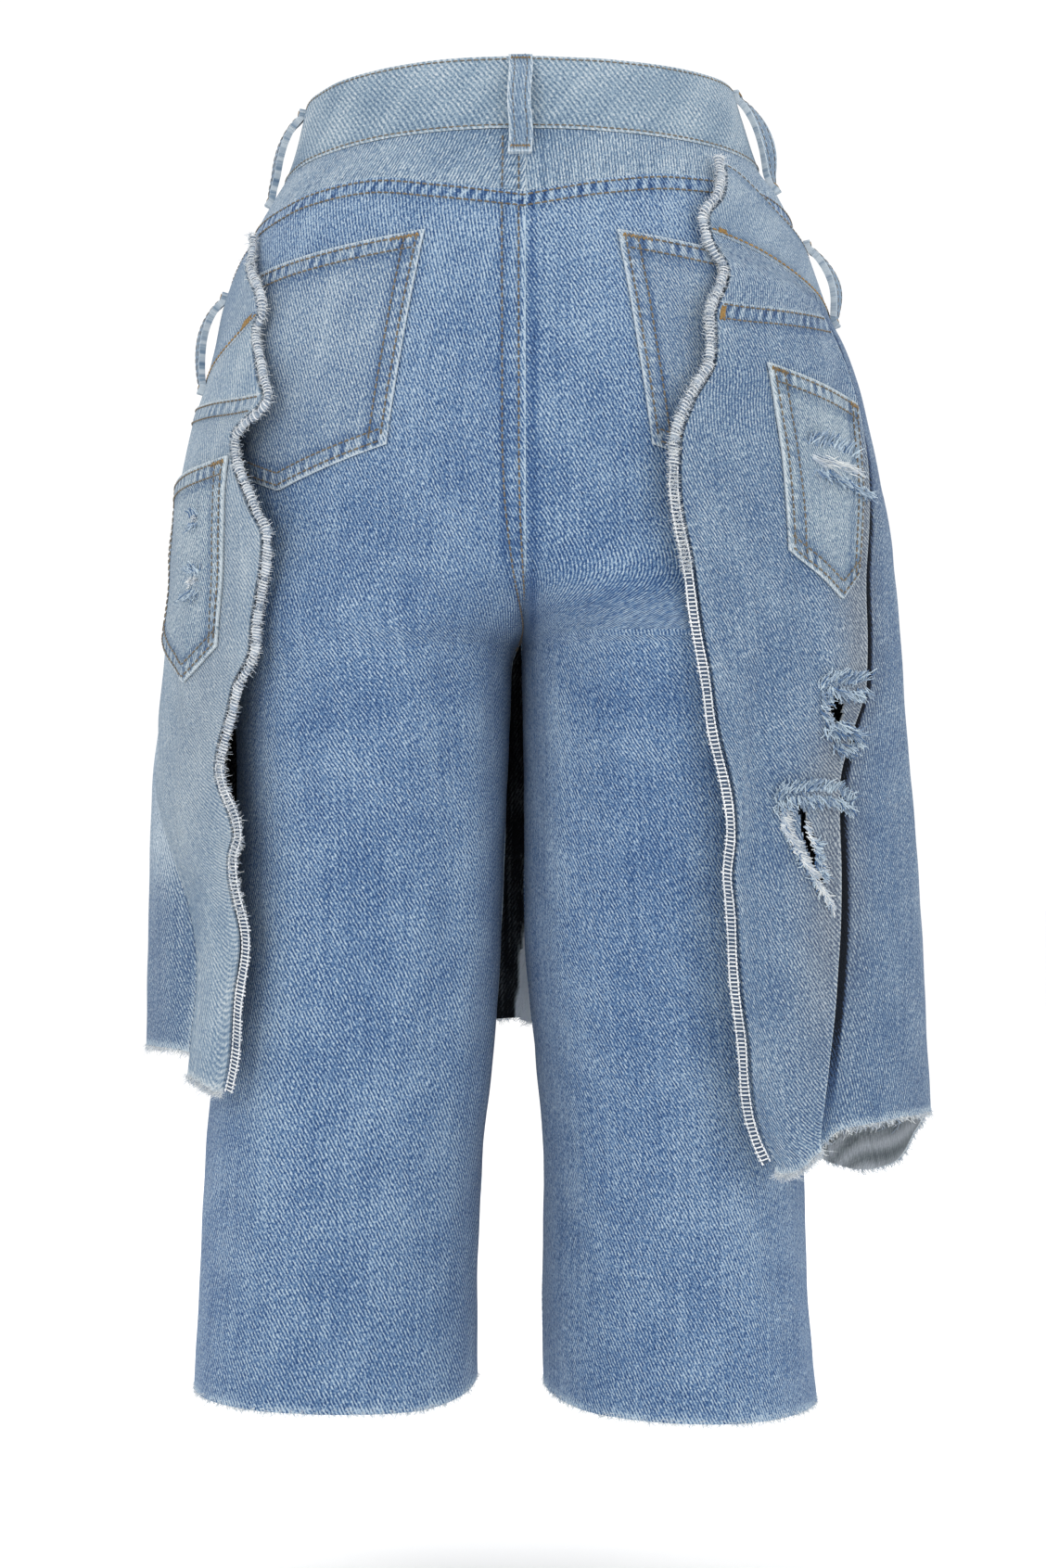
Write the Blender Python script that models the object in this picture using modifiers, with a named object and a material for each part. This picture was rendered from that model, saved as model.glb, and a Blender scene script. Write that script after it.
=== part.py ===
"""Layered denim capri jeans, filled out as if worn, with nobody in them.

The base is a pair of high-waisted, wide, knee-length jeans. Over them hang the cut-open
back and front panels of a second pair, which wrap the sides and the front and stay open
at the back, where their cut edges are overlocked. Metres, +Z up. The wearer faces +Y,
and +X is the wearer's right. The origin is the middle of the waist, level with the
upper half of the waistband. Tables are in millimetres and degrees.
"""

import math

import bmesh
import bpy
import numpy as np
from mathutils import Vector

MM = 0.001
QUARTER = math.pi / 2
LEFT, RIGHT = -1, 1
BACK, FRONT = -1, 1

# Cloth and trim. The bands stand proud of the cloth that hangs from them.
DENIM = 1.5 * MM
BAND_WALL = 2.4 * MM
BAND_PROUD = 0.7 * MM
SECOND_BAND_WALL = 2.2 * MM
SECOND_BAND_PROUD = 0.5 * MM
POCKET_WALL = 1.3 * MM
LOOP_WALL = 1.8 * MM
LOOP_WIDTH = 12.4 * MM
ROLL_RADIUS = 2.2 * MM

# Gaps between pieces: along seams, under patches, beside the rolled edge, at the second
# pair's sides and under the ends of the belt loops.
CLEAR = 0.3 * MM
SEAM_INSET = 0.2 * MM
PATCH_CLEAR = 0.8 * MM
ROLL_CLEAR = {LEFT: 1.5 * MM, RIGHT: 1.1 * MM}
SIDE_CLEAR = 0.6 * MM
LOOP_CLEAR = 0.4 * MM

# Cells of each piece's cloth, across and down.
CELLS = {
    "waistband": (44, 3),
    "yoke": (12, 3),
    "leg": (12, 22),
    "back_pocket": (13, 8),
    "fly": (5, 9),
    "belt_loop": (2, 15),
    "second_waistband": (40, 3),
    "second_yoke": (8, 4),
    "second_back": (10, 26),
    "second_front": (16, 18),
    "second_pocket": (9, 8),
}
EDGE_POINTS = 52
BUTTON_STEPS = 20
RIP_STEPS = 8

# How far a cubic curve's handles reach, in radii, to draw a quarter or half of an oval.
QUARTER_REACH = 0.5523
HALF_REACH = 4 / 3

# The base jeans: half widths out to the side seam and in to the inseam, depths out to
# the seat and the front, and how far the tube has parted into two legs.
BODY_COLUMNS = (
    "height", "left", "right", "left_in", "right_in", "back", "front", "parted",
)
BODY = (
    (22, 111, 112.5, 0.4, 0.4, 86, 82, 0),
    (0, 115.5, 119, 0.4, 0.4, 91.5, 86, 0),
    (-29, 123, 129, 0.4, 0.4, 99.5, 91, 0),
    (-43, 131, 139.5, 0.4, 0.4, 103.5, 93.5, 0),
    (-60, 140.5, 147, 0.4, 0.4, 108, 95.5, 0),
    (-85, 147.5, 152.5, 0.4, 0.4, 114, 98.5, 0),
    (-120, 152.5, 155.5, 0.4, 0.4, 121, 102, 0),
    (-170, 156, 157, 0.4, 0.4, 126, 105.5, 0),
    (-205, 156.5, 157, 0.9, 0.9, 124, 106.5, 0.2),
    (-245, 155, 155.5, 1.9, 1.5, 117, 105, 0.62),
    (-283, 153, 154, 3.2, 1.2, 108, 101, 1),
    (-360, 151.5, 152, 6.5, 2.5, 97, 94, 1),
    (-430, 155, 151.5, 9.5, 2.5, 91, 89, 1),
    (-500, 163, 152, 13.5, 8.5, 87.5, 86, 1),
    (-560, 169, 153, 20, 13, 86, 85, 1),
    (-625, 172, 155, 22.5, 12.5, 86, 84.5, 1),
    (-690, 175.5, 160, 22.5, 13, 87, 85, 1),
)

# The heights of the base waistband's two edges, at each side and at each centre.
WAIST_COLUMNS = ("edge", "left", "right", "back", "front")
WAIST = (
    ("top", 4.5, 14.5, 19.3, -2),
    ("bottom", -36, -29, -19.5, -41),
)

# The end that goes under the lap sinks over one lap's length, from this many laps away.
BAND_OVERLAP = 16 * MM
SINK_START = 2.2

# The seam under the yoke, from the side seam (0) to the centre back (1).
YOKE_COLUMNS = ("around", "left", "right")
YOKE = (
    (0, -62, -56),
    (0.25, -54, -46),
    (0.42, -47, -41.5),
    (0.62, -43.5, -41.5),
    (0.8, -47.5, -45.5),
    (1, -54, -54),
)

# The legs' raw hems, from the side seam (0) to the inseam (1).
LEG_HEM_COLUMNS = ("around", "left", "right")
LEG_HEM = (
    (0, -681, -688),
    (0.35, -684, -690),
    (0.7, -685, -687),
    (1, -676, -678),
)

# How the rows of a leg's cloth are shared out: close together round the crotch.
LEG_ROW_COLUMNS = ("share", "height")
LEG_ROWS = ((0.26, -190), (0.64, -286))

# Soft vertical folds of the legs: at which part of the panel, how deep and how wide.
LEG_FOLD_COLUMNS = ("panel", "centre", "drift", "depth", "width", "top", "bottom")
LEG_FOLDS = (
    ("back_left", 0.28, 0.05, 2.6, 0.07, -300, -720),
    ("back_left", 0.52, -0.08, -2.2, 0.09, -360, -720),
    ("back_left", 0.78, 0.02, 2.4, 0.06, -270, -640),
    ("back_right", 0.3, 0.02, 2.4, 0.07, -360, -720),
    ("back_right", 0.55, 0.06, -2.2, 0.08, -300, -700),
    ("back_right", 0.8, -0.05, 2.6, 0.06, -260, -600),
    ("front_left", 0.4, 0.04, -2.4, 0.08, -280, -720),
    ("front_left", 0.74, 0, 2.6, 0.07, -240, -560),
    ("front_right", 0.42, -0.04, -2.4, 0.08, -300, -720),
    ("front_right", 0.72, 0, 2.6, 0.07, -240, -600),
)
FOLD_FADE = 0.12

# Corners of the base back pockets: part of the way round to the centre back, height.
BACK_POCKET = (
    ("outer_top", 0.17, -92),
    ("inner_top", 0.79, -73.5),
    ("inner_bottom", 0.72, -184),
    ("point", 0.4, -205.5),
    ("outer_bottom", 0.14, -190),
)

FLY_INSET = 0.8 * MM
FLY_WIDTH = 36 * MM
FLY_BOTTOM = -188 * MM
FLY_TIP_WIDTH = 12 * MM
FLY_TURN = 0.7

BUTTON_RADIUS = 8.5 * MM
BUTTON_HEIGHT = 4.2 * MM
BUTTON_NECK = 4.5 * MM

# Belt loops of the base: side, face, how far round from the side seam, the heights of
# the ends, and the belt gap inside.
LOOP_COLUMNS = ("name", "side", "face", "around", "top", "bottom", "gap")
LOOPS = (
    ("belt_loop_back", RIGHT, BACK, 1, 19.5, -33, 8),
    ("belt_loop_side_left", LEFT, BACK, 0.03, 4.5, -47, 7.8),
    ("belt_loop_side_right", RIGHT, BACK, 0.06, 14, -40, 8.6),
    ("belt_loop_front_left", LEFT, FRONT, 0.75, -1, -52, 10),
    ("belt_loop_front_right", RIGHT, FRONT, 0.75, 0, -52, 10),
)
LOOP_END = 0.13
LOOP_BEND = 0.15

# The second pair's cloth: an oval round the base, half widths and depths at each height.
OVER_COLUMNS = ("height", "left", "right", "back", "front")
OVER = (
    (-20, 131, 133, 104, 95),
    (-40, 136, 143.5, 109, 97.5),
    (-57, 144, 150, 113.5, 99.5),
    (-72, 148.5, 154.5, 117.5, 101.5),
    (-85, 153, 159, 120.5, 102.8),
    (-95, 156.5, 162.5, 123, 104),
    (-105, 159.5, 166, 125.5, 105),
    (-125, 163.5, 176, 129, 106.8),
    (-145, 169, 183, 132, 108.3),
    (-165, 175.5, 188, 133.5, 109.8),
    (-205, 183.5, 196, 134, 115),
    (-245, 186, 200.5, 131, 120),
    (-285, 190.5, 204, 127, 124),
    (-325, 194.5, 206.5, 125, 126.5),
    (-365, 198, 210.5, 123, 128),
    (-445, 200, 217, 122, 130),
    (-500, 200.5, 220, 122, 131),
    (-580, 201, 224, 124, 133),
)

# The overlocked edges at the back: the angle from the side, towards the back, at each
# height. The edge waves because the cut cloth has stretched.
EDGE_COLUMNS = ("height", "angle")
EDGE_LEFT = (
    (-66, 15), (-85, 23.5), (-103, 33), (-112, 34.5), (-120, 32.5), (-144, 38),
    (-160, 42.5), (-178, 34.5), (-212, 42), (-230, 46), (-262, 44.6), (-287, 45),
    (-311, 40.5), (-350, 38.6), (-386, 43), (-395, 42.3), (-440, 45), (-490, 43.2),
    (-518, 41.6),
)
EDGE_RIGHT = (
    (-30, 41), (-52, 46.5), (-66, 52), (-76, 51.7), (-90, 49), (-118, 56), (-140, 57.5),
    (-162, 62.8), (-184, 66), (-205, 66.4), (-260, 64.4), (-321, 62), (-360, 60.1),
    (-384, 59.5), (-408, 60.3), (-475, 59.3), (-526, 58), (-541, 57), (-553, 55.5),
)
EDGE_CURL = 3.2 * MM
EDGE_CURL_REACH = 14 * MM
EDGE_WAVE_LENGTH = 62 * MM

# Where each back panel of the second pair ends at the side: the deep fold on the right,
# and the side seam on the left.
SIDE_COLUMNS = ("height", "left", "right")
SIDE = (
    (-66, 0, 12),
    (-110, -3, 17),
    (-147, -6, 17),
    (-165, -7.5, 16.5),
    (-206, -9, 20),
    (-250, -7, 25.5),
    (-304, -2, 27.5),
    (-330, 6, 33),
    (-360, 14, 37.5),
    (-423, 30, 39),
    (-456, 32.5, 40.4),
    (-500, 30.5, 42.7),
    (-540, 28, 45),
)
TUCK = 3.6 * MM
TUCK_REACH = 6.5
TUCK_TOP = -100 * MM
TUCK_GROWTH = 40 * MM

# The second waistband's edges, by the angle round it: 0 is the left side, 90 the centre
# front and 180 the right side. It hangs askew, low on the left and at the front.
SECOND_BAND_COLUMNS = ("round", "top", "bottom")
SECOND_BAND = (
    (-34, -66, -113),
    (-17, -73, -131),
    (0, -90, -146),
    (45, -117, -160),
    (90, -128, -166),
    (135, -110, -150),
    (180, -75, -109),
    (202, -58, -93),
    (220, -34, -79),
    (230, -29, -73),
)

SECOND_YOKE_SEAM = {LEFT: -156 * MM, RIGHT: -110 * MM}

# The second pair's raw hem, from the centre front (-90) past the side (0) to the back.
SECOND_HEM_COLUMNS = ("angle", "left", "right")
SECOND_HEM = (
    (-90, -491, -492),
    (-75, -494, -508),
    (-60, -498, -538),
    (-45, -502, -563),
    (-32, -503, -572),
    (-22, -501, -566),
    (-12, -499, -546),
    (0, -498, -533),
    (22, -497, -533),
    (33, -499, -535),
    (41, -503, -538),
    (44, -505, -545),
    (52, -512, -559),
    (60, -518, -552),
)

# Soft vertical folds of the second pair: at which angle, how deep and how wide.
SECOND_FOLD_COLUMNS = ("side", "centre", "drift", "depth", "width", "top", "bottom")
SECOND_FOLDS = (
    (RIGHT, 52, 3, -2.2, 5, -270, -560),
    (RIGHT, 8, 5, 2.6, 6, -200, -540),
    (RIGHT, -28, 6, 5, 8, -260, -600),
    (RIGHT, -58, -4, -4.5, 8, -230, -600),
    (RIGHT, -78, 2, 4, 6, -210, -600),
    (LEFT, 20, 8, 2.6, 6, -330, -540),
    (LEFT, -26, -5, 4.5, 8, -240, -560),
    (LEFT, -55, 4, -4.5, 8, -220, -560),
    (LEFT, -79, 0, 3.6, 6, -210, -560),
)

# Corners of the second pair's back pockets: angle from the side, height.
SECOND_POCKET = {
    LEFT: (
        ("outer_top", -3, -199),
        ("inner_top", 33.7, -187),
        ("inner_bottom", 34.6, -286),
        ("point", 25, -304.5),
        ("outer_bottom", 3, -279),
    ),
    RIGHT: (
        ("outer_top", 18, -157.5),
        ("inner_top", 45.5, -140.5),
        ("inner_bottom", 45.8, -237),
        ("point", 33.8, -261.5),
        ("outer_bottom", 28.4, -249),
    ),
}

# Belt loops of the second pair, as for the base but at an angle from the side.
SECOND_LOOP_COLUMNS = ("name", "side", "angle", "top", "bottom", "gap")
SECOND_LOOPS = (
    ("second_loop_left", LEFT, 3, -94, -148, 7.4),
    ("second_loop_right", RIGHT, 3, -66, -112, 8.2),
    ("second_loop_front_left", LEFT, -70, -126, -172, 9.6),
    ("second_loop_front_right", RIGHT, -70, -120, -166, 9.6),
)

# Rips that go right through: on which panel, the ends of the slit, and half its width.
RIP_COLUMNS = ("panel", "angle_a", "height_a", "angle_b", "height_b", "half_width")
RIPS = (
    ("second_back_right", 36.4, -311.5, 35.6, -326, 4.2),
    ("second_back_right", 46.6, -364.5, 42.2, -415, 3.2),
    ("second_front_right", -36, -557, -23, -551.5, 4.6),
)
RIP_DEPTH = 9 * MM


def columns(names, rows):
    """Gives a table as one array for each named column."""
    return {name: [row[i] for row in rows] for i, name in enumerate(names)}


def smooth(xs, ys, x):
    """Reads a smooth curve through (xs, ys) that never overshoots its points."""
    if xs[0] > xs[-1]:
        xs, ys = xs[::-1], ys[::-1]
    x = min(max(x, xs[0]), xs[-1])
    steps = np.diff(xs)
    slopes = np.diff(ys) / steps
    lean = np.zeros(len(xs))
    lean[0], lean[-1] = slopes[0], slopes[-1]
    for i in range(1, len(xs) - 1):
        if slopes[i - 1] * slopes[i] > 0:
            near = 2 * steps[i] + steps[i - 1]
            far = steps[i] + 2 * steps[i - 1]
            lean[i] = (near + far) / (near / slopes[i - 1] + far / slopes[i])
    i = min(max(int(np.searchsorted(xs, x)) - 1, 0), len(steps) - 1)
    t = (x - xs[i]) / steps[i]
    rise = t * t * (3 - 2 * t)
    return (
        ys[i] + (ys[i + 1] - ys[i]) * rise
        + steps[i] * (t * (1 - t) ** 2 * lean[i] - t * t * (1 - t) * lean[i + 1])
    )


BODY_TABLE = columns(BODY_COLUMNS, BODY)
OVER_TABLE = columns(OVER_COLUMNS, OVER)
WAIST_TABLE = {row[0]: dict(zip(WAIST_COLUMNS, row)) for row in WAIST}
YOKE_TABLE = columns(YOKE_COLUMNS, YOKE)
LEG_HEM_TABLE = columns(LEG_HEM_COLUMNS, LEG_HEM)
SIDE_TABLE = columns(SIDE_COLUMNS, SIDE)
SECOND_BAND_TABLE = columns(SECOND_BAND_COLUMNS, SECOND_BAND)
SECOND_HEM_TABLE = columns(SECOND_HEM_COLUMNS, SECOND_HEM)
EDGE_TABLE = {
    LEFT: columns(EDGE_COLUMNS, EDGE_LEFT),
    RIGHT: columns(EDGE_COLUMNS, EDGE_RIGHT),
}


def side_name(side):
    return "left" if side == LEFT else "right"


def face_name(face):
    return "back" if face == BACK else "front"


def read(table, key, column, at):
    return smooth(table[key], table[column], at)


def body(column, height):
    return read(BODY_TABLE, "height", column, height / MM) * MM


def over(column, height):
    return read(OVER_TABLE, "height", column, height / MM) * MM


def mixed(a, b, share):
    return a + (b - a) * share


def fold_depth(names, rows, owner, place, height):
    """Adds up the owner's folds: each a bell across the cloth, fading in and out in height."""
    depth = 0.0
    for row in rows:
        fold = dict(zip(names, row))
        down = (fold["top"] - height / MM) / (fold["top"] - fold["bottom"])
        if row[0] != owner or not 0 < down < 1:
            continue
        across = (place - fold["centre"] - fold["drift"] * down) / fold["width"]
        depth += fold["depth"] * math.exp(-across * across) * math.sin(math.pi * down ** 0.6)
    return depth * MM


def leg_fold(side, face, around, height):
    panel = f"{face_name(face)}_{side_name(side)}"
    fade = min(around, 1 - around, FOLD_FADE) / FOLD_FADE
    return fold_depth(LEG_FOLD_COLUMNS, LEG_FOLDS, panel, around, height) * fade


def base_flat(side, face, around, height):
    """A point of the base: a quarter oval at the hips that becomes half an oval at a leg.

    The section is one cubic curve from the side seam to the centre seam or the inseam.
    """
    parted = min(max(read(BODY_TABLE, "height", "parted", height / MM), 0.0), 1.0)
    outer = side * body(side_name(side), height)
    inner = side * body(side_name(side) + "_in", height)
    depth = face * body(face_name(face), height)
    seam = abs(depth) * math.sqrt(1 - parted * parted)
    ends = (
        (outer, face * SEAM_INSET),
        (outer, depth * mixed(QUARTER_REACH, HALF_REACH, parted)),
        (mixed(outer * QUARTER_REACH, inner, parted), depth * mixed(1, HALF_REACH, parted)),
        (inner, max(seam, SEAM_INSET) * face),
    )
    t = around
    weights = ((1 - t) ** 3, 3 * t * (1 - t) ** 2, 3 * t * t * (1 - t), t ** 3)
    x = sum(w * end[0] for w, end in zip(weights, ends))
    y = sum(w * end[1] for w, end in zip(weights, ends))
    return Vector((x, y, height))


def outward(point_of, a, b, da, db, turn):
    """The unit normal of a surface at (a, b), turned to face out of the cloth."""
    along = point_of(a + da, b) - point_of(a - da, b)
    down = point_of(a, b + db) - point_of(a, b - db)
    normal = along.cross(down)
    return normal.normalized() * turn


def base_normal(side, face, around, height):
    return outward(
        lambda a, h: base_flat(side, face, a, h),
        min(max(around, 0.02), 0.98), height, 0.01, 2 * MM, side * face,
    )


def base(side, face, around, height, lift=0.0):
    """A point on the base's outer face with its folds, moved out by lift."""
    normal = base_normal(side, face, around, height)
    fold = leg_fold(side, face, around, height)
    return base_flat(side, face, around, height) + normal * (lift + fold)


def waist_edge(edge, side, face, around):
    row = WAIST_TABLE[edge]
    at_side, at_centre = row[side_name(side)], row[face_name(face)]
    return mixed(at_side, at_centre, math.sin(around * QUARTER)) * MM


def yoke_seam(side, around):
    return read(YOKE_TABLE, "around", side_name(side), around) * MM


def leg_hem(side, around):
    return read(LEG_HEM_TABLE, "around", side_name(side), around) * MM


def over_flat(side, angle, height):
    """A point of the second pair: an oval, angle 0 at the side and 90 at the centre back."""
    turn = math.radians(angle)
    depth = over("back" if angle > 0 else "front", height)
    return Vector((
        side * over(side_name(side), height) * math.cos(turn),
        -depth * math.sin(turn),
        height,
    ))


def edge_angle(side, height):
    return read(EDGE_TABLE[side], "height", "angle", height / MM)


def side_angle(side, height):
    return read(SIDE_TABLE, "height", side_name(side), height / MM)


def edge_curl(side, angle, height):
    """The stretched edge rolls outwards, more in some places than in others."""
    reach = math.radians(edge_angle(side, height) - angle) * over("back", height)
    wave = 0.55 + 0.45 * math.sin(2 * math.pi * height / EDGE_WAVE_LENGTH + side)
    return EDGE_CURL * wave * math.exp(-((reach / EDGE_CURL_REACH) ** 2))


def over_normal(side, angle, height):
    return outward(
        lambda a, h: over_flat(side, a, h), angle, height, 0.5, 2 * MM, -side,
    )


def over_base(side, angle, height, lift=0.0):
    """A point on the second pair's outer face with its folds and curl, moved out by lift."""
    fold = fold_depth(SECOND_FOLD_COLUMNS, SECOND_FOLDS, side, angle, height)
    move = lift + fold + edge_curl(side, angle, height)
    return over_flat(side, angle, height) + over_normal(side, angle, height) * move


def second_hem(side, angle):
    return read(SECOND_HEM_TABLE, "angle", side_name(side), angle) * MM


def denim(name, colour, roughness=0.85, metallic=0.0):
    material = bpy.data.materials.new(name)
    material.use_nodes = True
    shader = material.node_tree.nodes["Principled BSDF"]
    shader.inputs["Base Color"].default_value = (*colour, 1.0)
    shader.inputs["Roughness"].default_value = roughness
    shader.inputs["Metallic"].default_value = metallic
    material.diffuse_color = (*colour, 1.0)
    return material


def placed(name, mesh, material):
    made = bpy.data.objects.new(name, mesh)
    mesh.materials.append(material)
    mesh.shade_smooth()
    PARTS.objects.link(made)
    return made


def cloth(name, surface, kind, wall, material, turned):
    """A cloth piece: an open grid of points surface(u, v) on its outer face, walled inwards.

    turned says that u runs to the right for someone who looks at the outer face.
    """
    across, down = CELLS[kind]
    grid = bmesh.new()
    bmesh.ops.create_grid(grid, x_segments=across, y_segments=down, size=1.0)
    for vertex in grid.verts:
        u = (1 + vertex.co.x) / 2
        v = (1 - vertex.co.y) / 2
        vertex.co = surface(u if turned else 1 - u, v)
    mesh = bpy.data.meshes.new(name)
    grid.to_mesh(mesh)
    grid.free()
    made = placed(name, mesh, material)
    solidify = made.modifiers.new("wall", "SOLIDIFY")
    solidify.thickness = wall
    solidify.offset = -1
    solidify.use_even_offset = True
    return made


def band_round(position, height_share, lift):
    """A point of the base waistband; position runs 0 to 4 from the centre front, left first."""
    quarters = (
        (LEFT, FRONT, lambda p: 1 - p),
        (LEFT, BACK, lambda p: p - 1),
        (RIGHT, BACK, lambda p: 3 - p),
        (RIGHT, FRONT, lambda p: p - 3),
    )
    if position < 0:
        side, face, around = RIGHT, FRONT, 1 + position
    elif position >= 4:
        side, face, around = LEFT, FRONT, 5 - position
    else:
        side, face, place = quarters[int(position)]
        around = place(position)
    top = waist_edge("top", side, face, around)
    bottom = waist_edge("bottom", side, face, around)
    return base(side, face, around, mixed(top, bottom, height_share), lift)


def waistband():
    """One strip all round, its left end lapped over its right end at the centre front."""
    lap = BAND_OVERLAP / (QUARTER * body("left", 0.0))
    under = BAND_WALL + CLEAR

    def surface(u, v):
        position = mixed(-lap, 4 + lap, u)
        sink = min(max((position - 4) / lap + SINK_START, 0.0), 1.0)
        sink = sink * sink * (3 - 2 * sink)
        return band_round(position, v, BAND_PROUD - under * sink)

    cloth("waistband", surface, "waistband", BAND_WALL, BAND_BLUE, True)


def yoke(side):
    def surface(u, v):
        top = waist_edge("bottom", side, BACK, u) - CLEAR
        bottom = yoke_seam(side, u) + CLEAR / 2
        return base(side, BACK, u, mixed(top, bottom, v))

    cloth(f"yoke_{side_name(side)}", surface, "yoke", DENIM, YOKE_BLUE, side == LEFT)


def leg_row(top, hem, v):
    """The height of a row, from the top (0) to the hem (1), straight between LEG_ROWS."""
    shares = [0.0] + [row[0] for row in LEG_ROWS] + [1.0]
    heights = [top] + [row[1] * MM for row in LEG_ROWS] + [hem]
    return float(np.interp(v, shares, heights))


def leg(side, face):
    def surface(u, v):
        if face == BACK:
            top = yoke_seam(side, u) - CLEAR / 2
        else:
            top = waist_edge("bottom", side, face, u) - CLEAR
        return base(side, face, u, leg_row(top, leg_hem(side, u), v))

    name = f"leg_{face_name(face)}_{side_name(side)}"
    cloth(name, surface, "leg", DENIM, LEG_BLUE, side * face == 1)


def five_sided(corners, s, t):
    """A point in a patch pocket's outline: s runs from the outer side, t from the top."""
    at = {row[0]: Vector((row[1], row[2] * MM)) for row in corners}
    top = at["outer_top"].lerp(at["inner_top"], s)
    if s < 0.5:
        bottom = at["outer_bottom"].lerp(at["point"], 2 * s)
    else:
        bottom = at["point"].lerp(at["inner_bottom"], 2 * s - 1)
    return top.lerp(bottom, t)


def back_pocket(side):
    def surface(u, v):
        around, height = five_sided(BACK_POCKET, u, v)
        return base(side, BACK, around, height, PATCH_CLEAR + POCKET_WALL)

    name = f"back_pocket_{side_name(side)}"
    cloth(name, surface, "back_pocket", POCKET_WALL, POCKET_BLUE, side == LEFT)


def fly():
    """The stitched-down flap of the fly, on the left front, rounded at its foot."""
    top = waist_edge("bottom", LEFT, FRONT, 1) - 2 * CLEAR

    def surface(u, v):
        height = mixed(top, FLY_BOTTOM, v)
        foot = max(0.0, (v - FLY_TURN) / (1 - FLY_TURN))
        width = mixed(FLY_WIDTH, FLY_TIP_WIDTH, foot * foot)
        x = mixed(FLY_INSET, width, 1 - u)
        around = 1 - math.asin(x / body("left", height)) / QUARTER
        return base(LEFT, FRONT, around, height, PATCH_CLEAR + POCKET_WALL)

    cloth("fly", surface, "fly", POCKET_WALL, LEG_BLUE, False)


def waist_button():
    """A jeans button: a turned disc on a short neck, square to the band it is set in."""
    face = band_round(0.0, 0.5, BAND_PROUD)
    slope = band_round(0.0, 0.8, BAND_PROUD) - band_round(0.0, 0.2, BAND_PROUD)
    tilt = math.atan2(slope.y, -slope.z)
    rim = BUTTON_HEIGHT * 0.55
    profile = (
        (0.0, BUTTON_HEIGHT),
        (BUTTON_RADIUS * 0.55, BUTTON_HEIGHT * 0.92),
        (BUTTON_RADIUS * 0.88, BUTTON_HEIGHT * 0.96),
        (BUTTON_RADIUS, BUTTON_HEIGHT * 0.78),
        (BUTTON_RADIUS * 0.92, rim),
        (BUTTON_NECK, rim * 0.9),
        (BUTTON_NECK, 0.0),
        (0.0, 0.0),
    )
    mesh = bpy.data.meshes.new("waist_button")
    points = [(radius, 0.0, height) for radius, height in profile]
    mesh.from_pydata(points, [(i, i + 1) for i in range(len(points) - 1)], [])
    made = placed("waist_button", mesh, BRASS)
    made.location = (0.0, face.y + CLEAR * math.cos(tilt), face.z + CLEAR * math.sin(tilt))
    made.rotation_euler = (tilt - QUARTER, 0.0, 0.0)
    screw = made.modifiers.new("turn", "SCREW")
    screw.steps = BUTTON_STEPS
    screw.render_steps = BUTTON_STEPS
    screw.use_merge_vertices = True
    screw.merge_threshold = 0.00001
    screw.use_normal_calculate = True


def loop_lift(share, gap):
    """How far the strip's outer face stands off, from its top end (0) to its foot (1)."""
    near = min(share, 1 - share)
    rise = min(max((near - LOOP_END) / LOOP_BEND, 0.0), 1.0)
    return LOOP_CLEAR + LOOP_WALL + gap * rise * rise * (3 - 2 * rise)


def belt_loop(name, centre, normal, top, bottom, gap):
    """A folded strip sewn down at both ends, standing off between them for the belt."""
    def surface(u, v):
        height = mixed(top, bottom, v)
        out = normal(height)
        along = Vector((-out.y, out.x, 0.0)).normalized()
        spread = (u - 0.5) * LOOP_WIDTH
        return centre(height) + along * spread + out * loop_lift(v, gap)

    cloth(name, surface, "belt_loop", LOOP_WALL, BAND_BLUE, True)


def base_loops():
    for row in LOOPS:
        loop = dict(zip(LOOP_COLUMNS, row))
        place = (loop["side"], loop["face"], loop["around"])

        def centre(height, place=place):
            return base(*place, height, BAND_PROUD)

        def normal(height, place=place):
            out = base_normal(*place, height)
            if place[2] == 1:
                out.x = 0.0
            return Vector((out.x, out.y, 0.0)).normalized()

        belt_loop(
            loop["name"], centre, normal, loop["top"] * MM, loop["bottom"] * MM,
            loop["gap"] * MM,
        )


def second_band_point(u, v, lift):
    """A point of the second waistband; its ends follow the overlocked edges."""
    height = -80 * MM
    place = mixed(-20.0, 220.0, u)
    for _ in range(8):
        start = -panel_inner(LEFT, height)
        stop = 180 + panel_inner(RIGHT, height)
        place = mixed(start, stop, u)
        top = read(SECOND_BAND_TABLE, "round", "top", place) * MM
        bottom = read(SECOND_BAND_TABLE, "round", "bottom", place) * MM
        height = mixed(top, bottom, v)
    if place < 90:
        return over_base(LEFT, -place, height, lift)
    return over_base(RIGHT, place - 180, height, lift)


def edge_margin(side, height):
    """How many degrees short of the edge's middle the cloth stops, for the rolled edge."""
    step = 4 * MM
    swing = edge_angle(side, height + step) - edge_angle(side, height - step)
    slope = math.radians(swing) * over("back", height) / (2 * step)
    beside = (ROLL_RADIUS + ROLL_CLEAR[side]) * math.sqrt(1 + slope * slope)
    return math.degrees(beside / over("back", height))


def band_edge(edge, side, angle):
    place = -angle if side == LEFT else 180 + angle
    return read(SECOND_BAND_TABLE, "round", edge, place) * MM


def second_waistband():
    def surface(u, v):
        return second_band_point(u, v, SECOND_BAND_PROUD)

    cloth("second_waistband", surface, "second_waistband", SECOND_BAND_WALL, BAND_BLUE, False)


def side_gap(height):
    return math.degrees(SIDE_CLEAR / over("back", height))


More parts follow.
